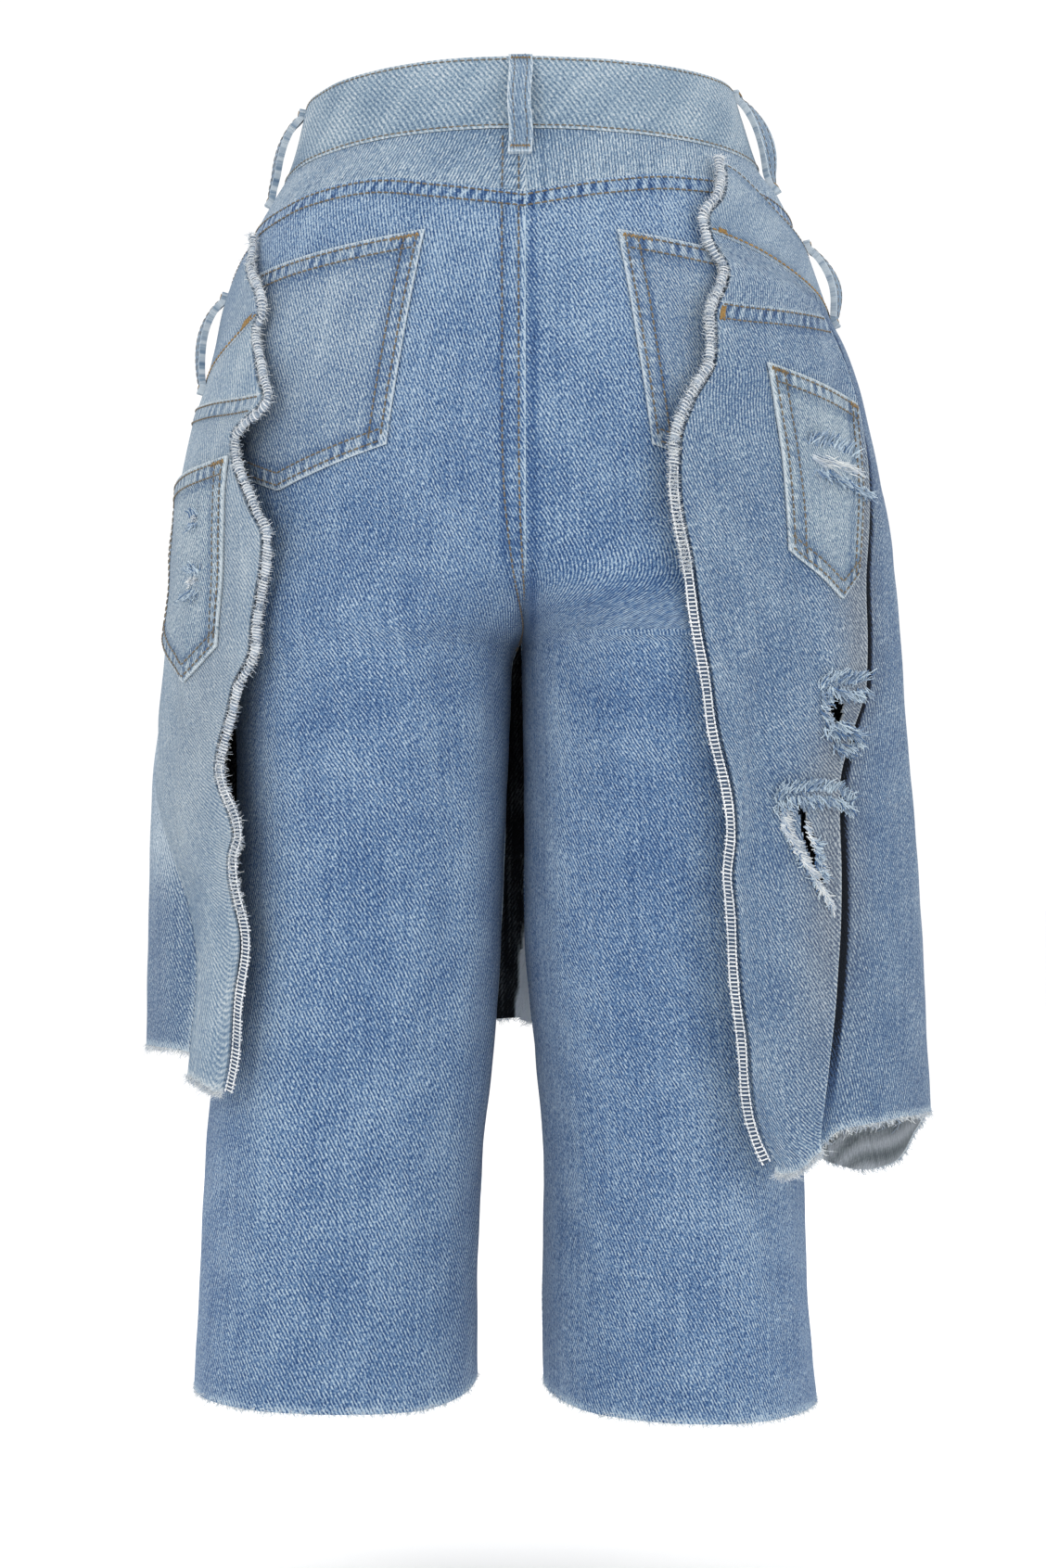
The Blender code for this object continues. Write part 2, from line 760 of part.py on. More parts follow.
def settled(top_of, bottom_of, side, inner_of, outer_of, u, v):
    """The angle and height of a panel point whose outline depends on both."""
    height = mixed(-0.1, -0.5, v)
    angle = 0.0
    for _ in range(10):
        angle = mixed(outer_of(side, height), inner_of(side, height), u)
        height = mixed(top_of(side, angle), bottom_of(side, angle), v)
    return angle, height


def panel_outer(side, height):
    return side_angle(side, height) + side_gap(height)


def panel_inner(side, height):
    return edge_angle(side, height) - edge_margin(side, height)


def second_yoke(side):
    def top(side, angle):
        return band_edge("bottom", side, angle) - CLEAR

    def bottom(side, angle):
        return SECOND_YOKE_SEAM[side] + CLEAR / 2

    def surface(u, v):
        place = settled(top, bottom, side, panel_inner, panel_outer, u, v)
        return over_base(side, *place)

    name = f"second_yoke_{side_name(side)}"
    cloth(name, surface, "second_yoke", DENIM, SECOND_BLUE, side == LEFT)


def second_back(side):
    def top(side, angle):
        return SECOND_YOKE_SEAM[side] - CLEAR / 2

    def bottom(side, angle):
        return second_hem(side, angle)

    def surface(u, v):
        place = settled(top, bottom, side, panel_inner, panel_outer, u, v)
        return over_base(side, *place)

    name = f"second_back_{side_name(side)}"
    cloth(name, surface, "second_back", DENIM, SECOND_BLUE, side == LEFT)


def tuck(side, angle, height):
    """The front panel's edge goes in under the back panel along the side fold."""
    away = (side_angle(side, height) - angle) / TUCK_REACH
    start = min(max((TUCK_TOP - height) / TUCK_GROWTH, 0.0), 1.0)
    return TUCK * start * math.exp(-away * away) if away > 0 else TUCK * start


def second_front(side):
    def inner(side, height):
        return -90 + math.degrees(CLEAR / over(side_name(side), height))

    def outer(side, height):
        return side_angle(side, height) - side_gap(height)

    def top(side, angle):
        return band_edge("bottom", side, angle) - CLEAR

    def bottom(side, angle):
        return second_hem(side, angle)

    def surface(u, v):
        angle, height = settled(top, bottom, side, outer, inner, u, v)
        return over_base(side, angle, height, -tuck(side, angle, height))

    name = f"second_front_{side_name(side)}"
    cloth(name, surface, "second_front", DENIM, SECOND_BLUE, side == LEFT)


def second_pocket(side):
    def surface(u, v):
        angle, height = five_sided(SECOND_POCKET[side], u, v)
        return over_base(side, angle, height, PATCH_CLEAR + POCKET_WALL)

    name = f"second_pocket_{side_name(side)}"
    cloth(name, surface, "second_pocket", POCKET_WALL, POCKET_BLUE, side == LEFT)


def second_loops():
    for row in SECOND_LOOPS:
        loop = dict(zip(SECOND_LOOP_COLUMNS, row))
        side, angle = loop["side"], loop["angle"]

        def centre(height, side=side, angle=angle):
            return over_base(side, angle, height, SECOND_BAND_PROUD)

        def normal(height, side=side, angle=angle):
            out = over_normal(side, angle, height)
            return Vector((out.x, out.y, 0.0)).normalized()

        belt_loop(
            loop["name"], centre, normal, loop["top"] * MM, loop["bottom"] * MM,
            loop["gap"] * MM,
        )


def overlock_edge(side):
    """The overlocked edge, rolled into a cord, from the second waistband to the hem."""
    rows = EDGE_LEFT if side == LEFT else EDGE_RIGHT
    top, bottom = rows[0][0] * MM, rows[-1][0] * MM
    curve = bpy.data.curves.new(f"overlock_edge_{side_name(side)}", "CURVE")
    curve.dimensions = "3D"
    curve.bevel_depth = ROLL_RADIUS
    curve.bevel_resolution = 1
    curve.use_fill_caps = True
    spline = curve.splines.new("POLY")
    spline.points.add(EDGE_POINTS - 1)
    for i, point in enumerate(spline.points):
        height = mixed(top, bottom, i / (EDGE_POINTS - 1))
        centre = over_base(side, edge_angle(side, height), height, -DENIM / 2)
        point.co = (*centre, 1.0)
    made = bpy.data.objects.new(curve.name, curve)
    curve.materials.append(THREAD)
    PARTS.objects.link(made)


def rip(number, row):
    """A leaf-shaped cutter across one panel, and the cut it makes."""
    cut = dict(zip(RIP_COLUMNS, row))
    side = LEFT if cut["panel"].endswith("left") else RIGHT
    rim = []
    for i in range(2 * RIP_STEPS):
        share = i / RIP_STEPS
        along = share if share <= 1 else 2 - share
        width = math.sin(math.pi * min(max(along, 0.0), 1.0)) ** 0.7
        angle = mixed(cut["angle_a"], cut["angle_b"], along)
        height = mixed(cut["height_a"], cut["height_b"], along) * MM
        centre = over_base(side, angle, height)
        start = over_base(side, cut["angle_a"], cut["height_a"] * MM)
        stop = over_base(side, cut["angle_b"], cut["height_b"] * MM)
        out = over_normal(side, angle, height)
        across = out.cross(stop - start).normalized()
        step = cut["half_width"] * MM * width * (1 if share <= 1 else -1)
        rim.append((centre + across * step, out))
    shape = bmesh.new()
    inner = [shape.verts.new(point - out * RIP_DEPTH) for point, out in rim]
    outer = [shape.verts.new(point + out * RIP_DEPTH) for point, out in rim]
    shape.faces.new(inner)
    shape.faces.new(outer[::-1])
    for i in range(len(rim)):
        j = (i + 1) % len(rim)
        shape.faces.new((inner[j], inner[i], outer[i], outer[j]))
    bmesh.ops.recalc_face_normals(shape, faces=shape.faces)
    mesh = bpy.data.meshes.new(f"rip_{number}")
    shape.to_mesh(mesh)
    shape.free()
    cutter = bpy.data.objects.new(mesh.name, mesh)
    cutter.hide_render = True
    cutter.display_type = "WIRE"
    CUTTERS.objects.link(cutter)
    boolean = bpy.data.objects[cut["panel"]].modifiers.new(mesh.name, "BOOLEAN")
    boolean.operation = "DIFFERENCE"
    boolean.object = cutter


for old in list(bpy.data.objects):
    bpy.data.objects.remove(old, do_unlink=True)

PARTS = bpy.data.collections.new("capri_jeans")
CUTTERS = bpy.data.collections.new("cutters")
bpy.context.scene.collection.children.link(PARTS)
bpy.context.scene.collection.children.link(CUTTERS)

LEG_BLUE = denim("washed blue denim", (0.145, 0.265, 0.48))
YOKE_BLUE = denim("washed blue denim, yoke", (0.17, 0.29, 0.49))
BAND_BLUE = denim("washed blue denim, bands", (0.21, 0.33, 0.52))
POCKET_BLUE = denim("washed blue denim, pockets", (0.18, 0.31, 0.52))
SECOND_BLUE = denim("pale washed denim, second pair", (0.22, 0.35, 0.52))
THREAD = denim("grey overlock thread", (0.48, 0.52, 0.56))
BRASS = denim("aged brass", (0.42, 0.28, 0.11), 0.4, 1.0)

waistband()
for each_side in (LEFT, RIGHT):
    yoke(each_side)
    leg(each_side, BACK)
    leg(each_side, FRONT)
    back_pocket(each_side)
fly()
waist_button()
base_loops()
second_waistband()
second_loops()
for each_side in (LEFT, RIGHT):
    second_yoke(each_side)
    second_back(each_side)
    second_front(each_side)
    second_pocket(each_side)
    overlock_edge(each_side)
for rip_number, rip_row in enumerate(RIPS, start=1):
    rip(rip_number, rip_row)
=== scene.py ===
"""Layered denim capri jeans, filled out as if worn, on a plain pale floor.

Metres, +Z up, seen from the wearer's back, who faces +Y; +X is the wearer's right. Tables
are in millimetres and degrees, and a cloth's flat coordinates are in millimetres.
"""

import math
from functools import partial

import bpy
import numpy as np
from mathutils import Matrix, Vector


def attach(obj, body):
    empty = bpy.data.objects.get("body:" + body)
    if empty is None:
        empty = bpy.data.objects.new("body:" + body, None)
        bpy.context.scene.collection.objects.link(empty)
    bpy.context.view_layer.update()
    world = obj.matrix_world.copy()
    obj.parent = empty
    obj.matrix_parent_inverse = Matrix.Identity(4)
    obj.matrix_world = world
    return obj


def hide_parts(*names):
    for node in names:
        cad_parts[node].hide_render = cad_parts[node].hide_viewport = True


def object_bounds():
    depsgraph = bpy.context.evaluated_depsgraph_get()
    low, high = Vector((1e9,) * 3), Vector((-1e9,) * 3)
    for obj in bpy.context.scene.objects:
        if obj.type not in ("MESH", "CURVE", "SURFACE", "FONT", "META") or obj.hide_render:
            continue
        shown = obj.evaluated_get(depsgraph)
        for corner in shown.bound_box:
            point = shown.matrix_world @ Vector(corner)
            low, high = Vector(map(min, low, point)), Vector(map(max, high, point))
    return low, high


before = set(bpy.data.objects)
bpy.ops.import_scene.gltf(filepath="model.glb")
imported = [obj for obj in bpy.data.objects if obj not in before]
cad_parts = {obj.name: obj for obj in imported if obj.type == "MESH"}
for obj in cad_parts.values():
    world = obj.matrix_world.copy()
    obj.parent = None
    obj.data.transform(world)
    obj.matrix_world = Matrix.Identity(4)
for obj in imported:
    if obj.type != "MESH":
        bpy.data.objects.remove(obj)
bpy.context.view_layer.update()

# ---------------------------------------------------------------- legs
# The four leg panels of the base pair: mid blue cotton denim, stone washed, cut straight
# and wide and left raw at the hem. The back panels meet under the yoke and at the seat seam,
# where one laps over the other and is sewn down with two rows.
MM = 0.001
LEFT, RIGHT = -1, 1
BACK, FRONT = -1, 1
DENIM = 1.5
SEAM_GAP = 0.3

BODY = (
    ("height", "left", "right", "left_in", "right_in", "back", "front", "parted"),
    (22, 111, 112.5, 0.4, 0.4, 86, 82, 0),
    (0, 115.5, 119, 0.4, 0.4, 91.5, 86, 0),
    (-29, 123, 129, 0.4, 0.4, 99.5, 91, 0),
    (-43, 131, 139.5, 0.4, 0.4, 103.5, 93.5, 0),
    (-60, 140.5, 147, 0.4, 0.4, 108, 95.5, 0),
    (-85, 147.5, 152.5, 0.4, 0.4, 114, 98.5, 0),
    (-120, 152.5, 155.5, 0.4, 0.4, 121, 102, 0),
    (-170, 156, 157, 0.4, 0.4, 126, 105.5, 0),
    (-205, 156.5, 157, 0.9, 0.9, 124, 106.5, 0.2),
    (-245, 155, 155.5, 1.9, 1.5, 117, 105, 0.62),
    (-283, 153, 154, 3.2, 1.2, 108, 101, 1),
    (-360, 151.5, 152, 6.5, 2.5, 97, 94, 1),
    (-430, 155, 151.5, 9.5, 2.5, 91, 89, 1),
    (-500, 163, 152, 13.5, 8.5, 87.5, 86, 1),
    (-560, 169, 153, 20, 13, 86, 85, 1),
    (-625, 172, 155, 22.5, 12.5, 86, 84.5, 1),
    (-690, 175.5, 160, 22.5, 13, 87, 85, 1),
)
WAIST = {
    "top": {"left": 4.5, "right": 14.5, "back": 19.3, "front": -2},
    "bottom": {"left": -36, "right": -29, "back": -19.5, "front": -41},
}
YOKE = (
    ("around", "left", "right"),
    (0, -62, -56),
    (0.25, -54, -46),
    (0.42, -47, -41.5),
    (0.62, -43.5, -41.5),
    (0.8, -47.5, -45.5),
    (1, -54, -54),
)
LEG_HEM = (
    ("around", "left", "right"),
    (0, -681, -688),
    (0.35, -684, -690),
    (0.7, -685, -687),
    (1, -676, -678),
)

# Folds: centre, drift, depth, width, top, bottom. Creases: a line from x, z to x, z in mm
# of cloth, how high and how wide.
LEG_FOLDS = {
    (LEFT, BACK): (
        (0.28, 0.05, 2.6, 0.07, -300, -720),
        (0.52, -0.08, -2.2, 0.09, -360, -720),
        (0.78, 0.02, 2.4, 0.06, -270, -640),
    ),
    (RIGHT, BACK): (
        (0.3, 0.02, 2.4, 0.07, -360, -720),
        (0.55, 0.06, -2.2, 0.08, -300, -700),
        (0.8, -0.05, 2.6, 0.06, -260, -600),
    ),
    (LEFT, FRONT): (
        (0.4, 0.04, -2.4, 0.08, -280, -720),
        (0.74, 0, 2.6, 0.07, -240, -560),
    ),
    (RIGHT, FRONT): (
        (0.42, -0.04, -2.4, 0.08, -300, -720),
        (0.72, 0, 2.6, 0.07, -240, -600),
    ),
}
LEG_CREASES = {
    (LEFT, BACK): (
        (226, -262, 120, -222, 1.5, 9),
        (224, -286, 110, -268, 1.7, 10),
        (228, -318, 140, -330, 1.3, 9),
        (60, -300, 170, -352, -1.2, 13),
        (40, -470, 190, -505, 0.9, 15),
        (70, -585, 215, -560, -0.8, 14),
    ),
    (RIGHT, BACK): (
        (226, -258, 118, -214, 1.6, 9),
        (226, -282, 96, -262, 1.8, 10),
        (224, -322, 130, -348, 1.2, 9),
        (50, -330, 160, -372, -1.1, 12),
        (40, -520, 200, -490, 0.9, 15),
        (60, -600, 205, -622, 0.8, 13),
    ),
    (LEFT, FRONT): (
        (205, -232, 90, -180, 2.0, 9),
        (206, -250, 70, -232, 2.2, 10),
        (208, -272, 100, -290, 1.6, 9),
        (50, -500, 190, -470, 1.2, 14),
        (60, -560, 200, -585, -1.1, 13),
    ),
    (RIGHT, FRONT): (
        (205, -228, 96, -176, 2.0, 9),
        (206, -248, 66, -236, 2.1, 10),
        (208, -276, 90, -298, 1.5, 9),
        (40, -480, 180, -510, 1.2, 14),
        (50, -590, 200, -560, -1.1, 13),
    ),
}
FOLD_FADE = 0.12
FELL_WIDTH, FELL_HEIGHT, FELL_SLOPE = 9.5, 0.55, 1.6
SEAT_LAP, FRONT_LAP = 3.4, 2.6
CROTCH, CROTCH_FADE = -294, 20
THINNEST = 0.2
QUARTER_OVAL, HALF_OVAL = 0.5523, 4 / 3


def read(table, column, at):
    """A table's column as a smooth curve: cubic pieces whose slope at each row is the
    weighted harmonic mean of the chords beside it, so that it never overshoots."""
    rows = np.array(sorted(table[1:]), float)
    x, y = rows[:, 0], rows[:, table[0].index(column)]
    step = np.diff(x)
    chord = np.diff(y) / step
    slope = np.concatenate((chord[:1], np.zeros(len(x) - 2), chord[-1:]))
    before, after = chord[:-1], chord[1:]
    rising = before * after > 0
    near, far = 2 * step[1:] + step[:-1], step[1:] + 2 * step[:-1]
    safe_before, safe_after = np.where(rising, before, 1), np.where(rising, after, 1)
    mean = (near + far) / (near / safe_before + far / safe_after)
    slope[1:-1] = np.where(rising, mean, 0)
    at = np.clip(at, x[0], x[-1])
    i = np.clip(np.searchsorted(x, at) - 1, 0, len(step) - 1)
    t = (at - x[i]) / step[i]
    lean = t * (1 - t) ** 2 * slope[i] - t * t * (1 - t) * slope[i + 1]
    return y[i] + (y[i + 1] - y[i]) * t * t * (3 - 2 * t) + step[i] * lean


def ease(x):
    """0 below 0, 1 above 1, and a smooth S between them."""
    x = np.clip(x, 0, 1)
    return x * x * (3 - 2 * x)


def mixed(a, b, share):
    """The value a share of the way from a to b."""
    return a + (b - a) * share


def base_form(side, face, around, height):
    """The base's outer face: one cubic curve from the side seam (0) to the centre seam or
    the inseam (1), a quarter of an oval at the hips and half of one where it has parted."""
    z = np.asarray(height) / MM
    left = np.asarray(side) < 0
    back = np.asarray(face) < 0
    parted = np.clip(read(BODY, "parted", z), 0, 1)
    parted = np.where(back, parted ** 1.6, parted)
    outer = side * np.where(left, read(BODY, "left", z), read(BODY, "right", z))
    inner = side * np.where(left, read(BODY, "left_in", z), read(BODY, "right_in", z))
    depth = face * np.where(back, read(BODY, "back", z), read(BODY, "front", z))
    seam = np.maximum(abs(depth) * np.sqrt(1 - parted * parted), THINNEST) * face
    t = around
    weights = ((1 - t) ** 3, 3 * t * (1 - t) ** 2, 3 * t * t * (1 - t), t ** 3)
    xs = (outer, outer, mixed(outer * QUARTER_OVAL, inner, parted), inner)
    ys = (
        face * THINNEST, depth * mixed(QUARTER_OVAL, HALF_OVAL, parted),
        depth * mixed(1, HALF_OVAL, parted), seam,
    )
    x = sum(w * value for w, value in zip(weights, xs))
    y = sum(w * value for w, value in zip(weights, ys))
    over = np.where(back, SEAT_LAP, FRONT_LAP) + read(BODY, "left_in", z)
    lap = over * ease((around - 0.8) / 0.2) * ease((z - CROTCH) / CROTCH_FADE)
    return np.stack((x + np.where(left, lap, 0), y, z + 0 * x), -1) * MM


def unit(vectors):
    """Vectors over their own lengths."""
    return vectors / np.linalg.norm(vectors, axis=-1, keepdims=True)


def base_normal(side, face, around, height):
    """Square to the form and out of the cloth: its slopes by small steps, crossed."""
    at = np.clip(around, 0.02, 0.98)
    across = base_form(side, face, at + 0.01, height) - base_form(side, face, at - 0.01, height)
    down = base_form(side, face, at, height + 2 * MM) - base_form(side, face, at, height - 2 * MM)
    turn = np.asarray(side) * face
    return unit(np.cross(across, down)) * turn[..., None]


def folds(rows, place, height):
    """Soft folds, in mm: each a bell across the cloth that fades in and out in height."""
    total = 0
    for centre, drift, depth, width, top, bottom in rows:
        down = np.clip((top - height / MM) / (top - bottom), 0, 1)
        across = (place - centre - drift * down) / width
        total = total + depth * np.exp(-across ** 2) * np.sin(np.pi * down ** 0.6)
    return total


def creases(rows, x, z):
    """Creases, in mm: each a ridge along a line, with a softer trough on one side of it."""
    total = 0
    for x0, z0, x1, z1, height, width in rows:
        run_x, run_z = x1 - x0, z1 - z0
        length = math.hypot(run_x, run_z)
        along = np.clip(((x - x0) * run_x + (z - z0) * run_z) / length ** 2, 0, 1)
        across = ((x - x0) * run_z - (z - z0) * run_x) / length / width
        ridge = np.exp(-across ** 2) - 0.55 * np.exp(-(across - 1.6) ** 2)
        total = total + height * np.sin(np.pi * along) * ridge
    return total


def rumple(x, z):
    """Small unevenness, in mm: three crossed sine waves of unlike lengths."""
    return (
        0.22 * np.sin(x / 13 + 1.7 * np.sin(z / 41)) * np.sin(z / 19 + 1.1)
        + 0.16 * np.sin(x / 7.3 - z / 23) + 0.1 * np.sin(x / 17 + z / 5.9)
    )


def leg_girth(side, face, height):
    """How wide a leg panel is, in mm, from the mean radius of its part of an oval."""
    z = height / MM
    wide = read(BODY, "left" if side < 0 else "right", z)
    deep = read(BODY, "back" if face < 0 else "front", z)
    parted = np.clip(read(BODY, "parted", z), 0, 1)
    whole = np.pi / 2 * np.sqrt((wide ** 2 + deep ** 2) / 2)
    half = np.pi * np.sqrt((wide ** 2 / 4 + deep ** 2) / 2)
    return mixed(whole, half * 0.97, parted)


def fell(distance):
    """How much a felled seam's four layers stand up, in mm, by the distance to its edge."""
    return FELL_HEIGHT * ease((FELL_WIDTH - distance) / FELL_SLOPE)


def base_lift(side, face, around, height):
    """The folds, creases and unevenness of the base's cloth, in mm."""
    x, z = around * leg_girth(side, face, height), height / MM
    fade = np.minimum(np.minimum(around, 1 - around), FOLD_FADE) / FOLD_FADE
    soft = ease((-z - 60) / 60)
    lift = folds(LEG_FOLDS[side, face], around, height) * fade
    lift = lift + creases(LEG_CREASES[side, face], x, z) * np.clip(fade * 1.6, 0, 1)
    return lift + rumple(x + 40 * side, z + 60 * face) * soft


def base_surface(side, face, top, bottom, lift):
    """A panel of the base: u runs to the right for someone who looks at it, v down."""
    def surface(u, v):
        around = u if side * face == 1 else 1 - u
        height = mixed(top(around), bottom(around), v)
        out = base_normal(side, face, around, height)
        raised = base_lift(side, face, around, height) + lift(around, height)
        return base_form(side, face, around, height) + out * (raised * MM)[..., None]

    return surface


def side_word(side):
    """A side's name, as the nodes and the tables have it."""
    return "left" if side == LEFT else "right"


def waist_edge(edge, side, face, around):
    """The waistband's edge, in m: from its height at the side to that at the centre."""
    rows = WAIST[edge]
    at_side = np.where(np.asarray(side) < 0, rows["left"], rows["right"])
    at_centre = np.where(np.asarray(face) < 0, rows["back"], rows["front"])
    return mixed(at_side, at_centre, np.sin(around * np.pi / 2)) * MM


def yoke_seam(side, around):
    """The seam between yoke and leg, in m, read from its table."""
    return read(YOKE, side_word(side), around) * MM


def leg_hem(side, around):
    """The raw hem's height, in m, read from its table."""
    return read(LEG_HEM, side_word(side), around) * MM


def facing(surface, u, v):
    """A surface's outward normals, from small steps to the right and down it."""
    step = 1e-3
    right = surface(np.clip(u + step, 0, 1), v) - surface(np.clip(u - step, 0, 1), v)
    down = surface(u, np.clip(v + step, 0, 1)) - surface(u, np.clip(v - step, 0, 1))
    return unit(np.cross(down, right))


def shares(length, cell, near):
    """Shares of a length in mm: even cells, and finer ones beside both ends' seams."""
    near = np.array(near)
    count = max(2, int(round((length - 2 * near[-1]) / cell)) + 1)
    middle = np.linspace(near[-1], length - near[-1], count)
    return np.concatenate((near[:-1], middle, (length - near[:-1])[::-1])) / length


def run(points, axis):
    """The way along a grid's rows or columns up to each point, in mm, from its chords."""
    chords = np.linalg.norm(np.diff(points, axis=axis), axis=-1) / MM
    start = np.zeros_like(chords.take([0], axis))
    return np.concatenate((start, np.cumsum(chords, axis=axis)), axis)


def bell(distance, centre, width):
    """1 at the centre, falling on both sides as e to the minus square of the distance."""
    return np.exp(-((distance - centre) / width) ** 2)


def placed(name, data):
    """Links a new object with this data into the scene, unturned and at the origin."""
    made = bpy.data.objects.new(name, data)
    bpy.context.scene.collection.objects.link(made)
    return made


SEAM_CELLS = (0, 1.1, 2.3, 4, 6.4, 9, 11)
PUCKER_START, PUCKER_RISE, PUCKER_END, PUCKER_FALL = 0.4, 1.4, 11, 4.5
RIDGE_WIDTH, TROUGH, TROUGH_WIDTH = 1.1, 11.5, 2.2
SHARP_EDGE = 70
ALLOWANCE, SEAMS_SHARE = 10, 1.06


def cloth(
    name, surface, size, cell, wall, finish, seams=None, tone=None, inner_tone=None,
    grey=None, keep=None, near=SEAM_CELLS, raw=(), rests_on="waistband",
    allowance=ALLOWANCE,
):
    """A cloth piece: the surface's grid, the same grid moved in by the wall, and a rim round
    each edge and hole. It returns what the sewing on it needs. Its cut is its largest width
    by its largest length along the cloth, with the seam allowance.

    seams gives, for each edge, how strongly it puckers and how pale its ridge has worn.
    tone gives how much paler each point is, from the wash and wear and from painted shade and
    light, inner_tone the same of the wrong side, grey how much of its blue is gone, keep which
    cells there are, and raw the edges that are left unsewn.
    """
    us, vs = shares(size[0], cell, near), shares(size[1], cell, near)
    u, v = np.meshgrid(us, vs)
    outer = surface(u, v)
    out = facing(surface, u, v)
    inner = outer - out * wall * MM
    across, down = run(outer, 1), run(outer, 0)
    apart = {
        "left": across, "right": across[:, -1:] - across,
        "top": down, "bottom": down[-1:] - down,
    }
    # Channel 0: tone from wash and wear, and painted shade and light where a tone adds them.
    wash_and_painted_light = np.zeros(u.shape + (4,))
    wash_and_painted_light[..., 0] = 0.5 if tone is None else 0.5 + tone(u, v, outer)
    for edge, (rope, ridge) in (seams or {}).items():
        way = apart[edge]
        band = ease((way - PUCKER_START) / PUCKER_RISE) * ease((PUCKER_END - way) / PUCKER_FALL)
        wash_and_painted_light[..., 1 if edge in ("top", "bottom") else 2] += rope * band
        trough = 0.5 * bell(way, TROUGH, TROUGH_WIDTH) * (rope > 0)
        wash_and_painted_light[..., 0] += ridge * (1.5 * bell(way, 0, RIDGE_WIDTH) - trough)
    if grey is not None:
        wash_and_painted_light[..., 3] = grey(u, v, outer)
    rows, columns = u.shape
    spot = np.arange(rows * columns).reshape(rows, columns)
    a, b, c, d = spot[:-1, :-1], spot[1:, :-1], spot[1:, 1:], spot[:-1, 1:]
    kept = np.ones(a.shape, bool)
    if keep is not None:
        kept = keep((u[:-1, :-1] + u[1:, 1:]) / 2, (v[:-1, :-1] + v[1:, 1:]) / 2)
    padded = np.pad(kept, 1)
    back = rows * columns
    quads = [np.stack((a, b, c, d), -1)[kept], np.stack((a, d, c, b), -1)[kept] + back]
    looks = [np.zeros(kept.sum()), np.ones(kept.sum())]
    # A hole's rim is always torn, the panel's own edge only where it is raw.
    torn = np.ones(a.shape, bool)
    sides = (
        ("left", a, b, padded[1:-1, :-2], torn[:, :1]),
        ("right", c, d, padded[1:-1, 2:], torn[:, -1:]),
        ("top", d, a, padded[:-2, 1:-1], torn[:1]),
        ("bottom", b, c, padded[2:, 1:-1], torn[-1:]),
    )
    for edge, start, stop, beside, outermost in sides:
        torn[:] = True
        outermost[:] = edge in raw
        bare = kept & ~beside
        first, last = start[bare], stop[bare]
        quads.append(np.stack((first, first + back, last + back, last), -1))
        looks.append(np.where(torn[bare], 2, 0))
    quads = np.concatenate(quads)
    used, corners = np.unique(quads, return_inverse=True)
    corners = corners.reshape(quads.shape)
    places = np.concatenate((outer.reshape(-1, 3), inner.reshape(-1, 3)))[used]
    mesh = bpy.data.meshes.new(name)
    mesh.from_pydata(places.tolist(), [], corners.tolist())
    flat = np.stack((across - across[:, :1], -down), -1).reshape(-1, 2)
    flat = np.concatenate((flat, flat))[used]
    layer = mesh.uv_layers.new(name="flat")
    layer.uv.foreach_set("vector", flat[corners.ravel()].astype(np.float32).ravel())
    look = mesh.attributes.new("wash_and_painted_light", "FLOAT_COLOR", "POINT")
    within = wash_and_painted_light.copy()
    if inner_tone is not None:
        within[..., 0] = 0.5 + inner_tone(u, v, outer)
        within[..., 1:] = 0
    both = np.concatenate((wash_and_painted_light.reshape(-1, 4), within.reshape(-1, 4)))[used]
    look.data.foreach_set("color", both.astype(np.float32).ravel())
    mesh.polygons.foreach_set("material_index", np.concatenate(looks).astype(np.int32))
    mesh.shade_smooth()
    mesh.set_sharp_from_angle(angle=math.radians(SHARP_EDGE))
    for material in finish:
        mesh.materials.append(material)
    made = placed(name, mesh)
    side_a, side_b = outer[1:, 1:] - outer[:-1, :-1], outer[1:, :-1] - outer[:-1, 1:]
    area = (np.linalg.norm(np.cross(side_a, side_b), axis=-1) / 2)[kept].sum()
    cut = [float(way[:, -1].max() if way is across else way[-1].max()) for way in (across, down)]
    cut = [(length + allowance) * MM for length in cut]
    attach(made, "root")
    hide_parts(name)
    return {
        "surface": surface, "us": us, "vs": vs, "widths": across[:, -1], "lengths": down[-1],
    }


def colour(value):
    """An sRGB hex value as linear light, channel by channel, by the standard's curve."""
    channels = [int(value[i:i + 2], 16) / 255 for i in (1, 3, 5)]
    linear = [c / 12.92 if c <= 0.04045 else ((c + 0.055) / 1.055) ** 2.4 for c in channels]
    return (*linear, 1.0)


def node(tree, kind, inputs=None, take=0, **fields):
    """Adds a shader node: its fields, then its inputs, which are values or links."""
    made = tree.nodes.new("ShaderNode" + kind)
    for field, value in fields.items():
        setattr(made, field, value)
    for socket, value in (inputs or {}).items():
        if isinstance(value, bpy.types.NodeSocket):
            tree.links.new(value, made.inputs[socket])
        else:
            made.inputs[socket].default_value = value
    return made.outputs[take]


def new_material(name):
    """A new material and its node tree."""
    material = bpy.data.materials.new(name)
    material.use_nodes = True
    return material, material.node_tree


def finished(material, base, roughness, bump=None, sheen=0.0, metallic=0.0, specular=0.25):
    """Links a colour and a bump to the material's shader, and sets on its sockets what is
    the same all over."""
    shader = material.node_tree.nodes["Principled BSDF"]
    same_all_over = {
        "Roughness": roughness, "Metallic": metallic, "Specular IOR Level": specular,
        "Sheen Weight": sheen, "Sheen Roughness": 0.5,
    }
    for socket, value in same_all_over.items():
        shader.inputs[socket].default_value = value
    material.node_tree.links.new(base, shader.inputs["Base Color"])
    if bump is not None:
        material.node_tree.links.new(bump, shader.inputs["Normal"])
    return material


TWILL_PITCH, ROPE_PITCH = 1.7, 6.6
SLUB_WIDTH, SLUB_LENGTH = 0.62, 2.6
STREAK_WIDTH, STREAK_LENGTH = 2.6, 70
SPECK, CLOUD, PATCH = 1.0, 30, 11
WAVE_UNIT = 2 * math.pi / 20
WEAVE_BUMP, THREAD_BUMP = 0.4, 0.1


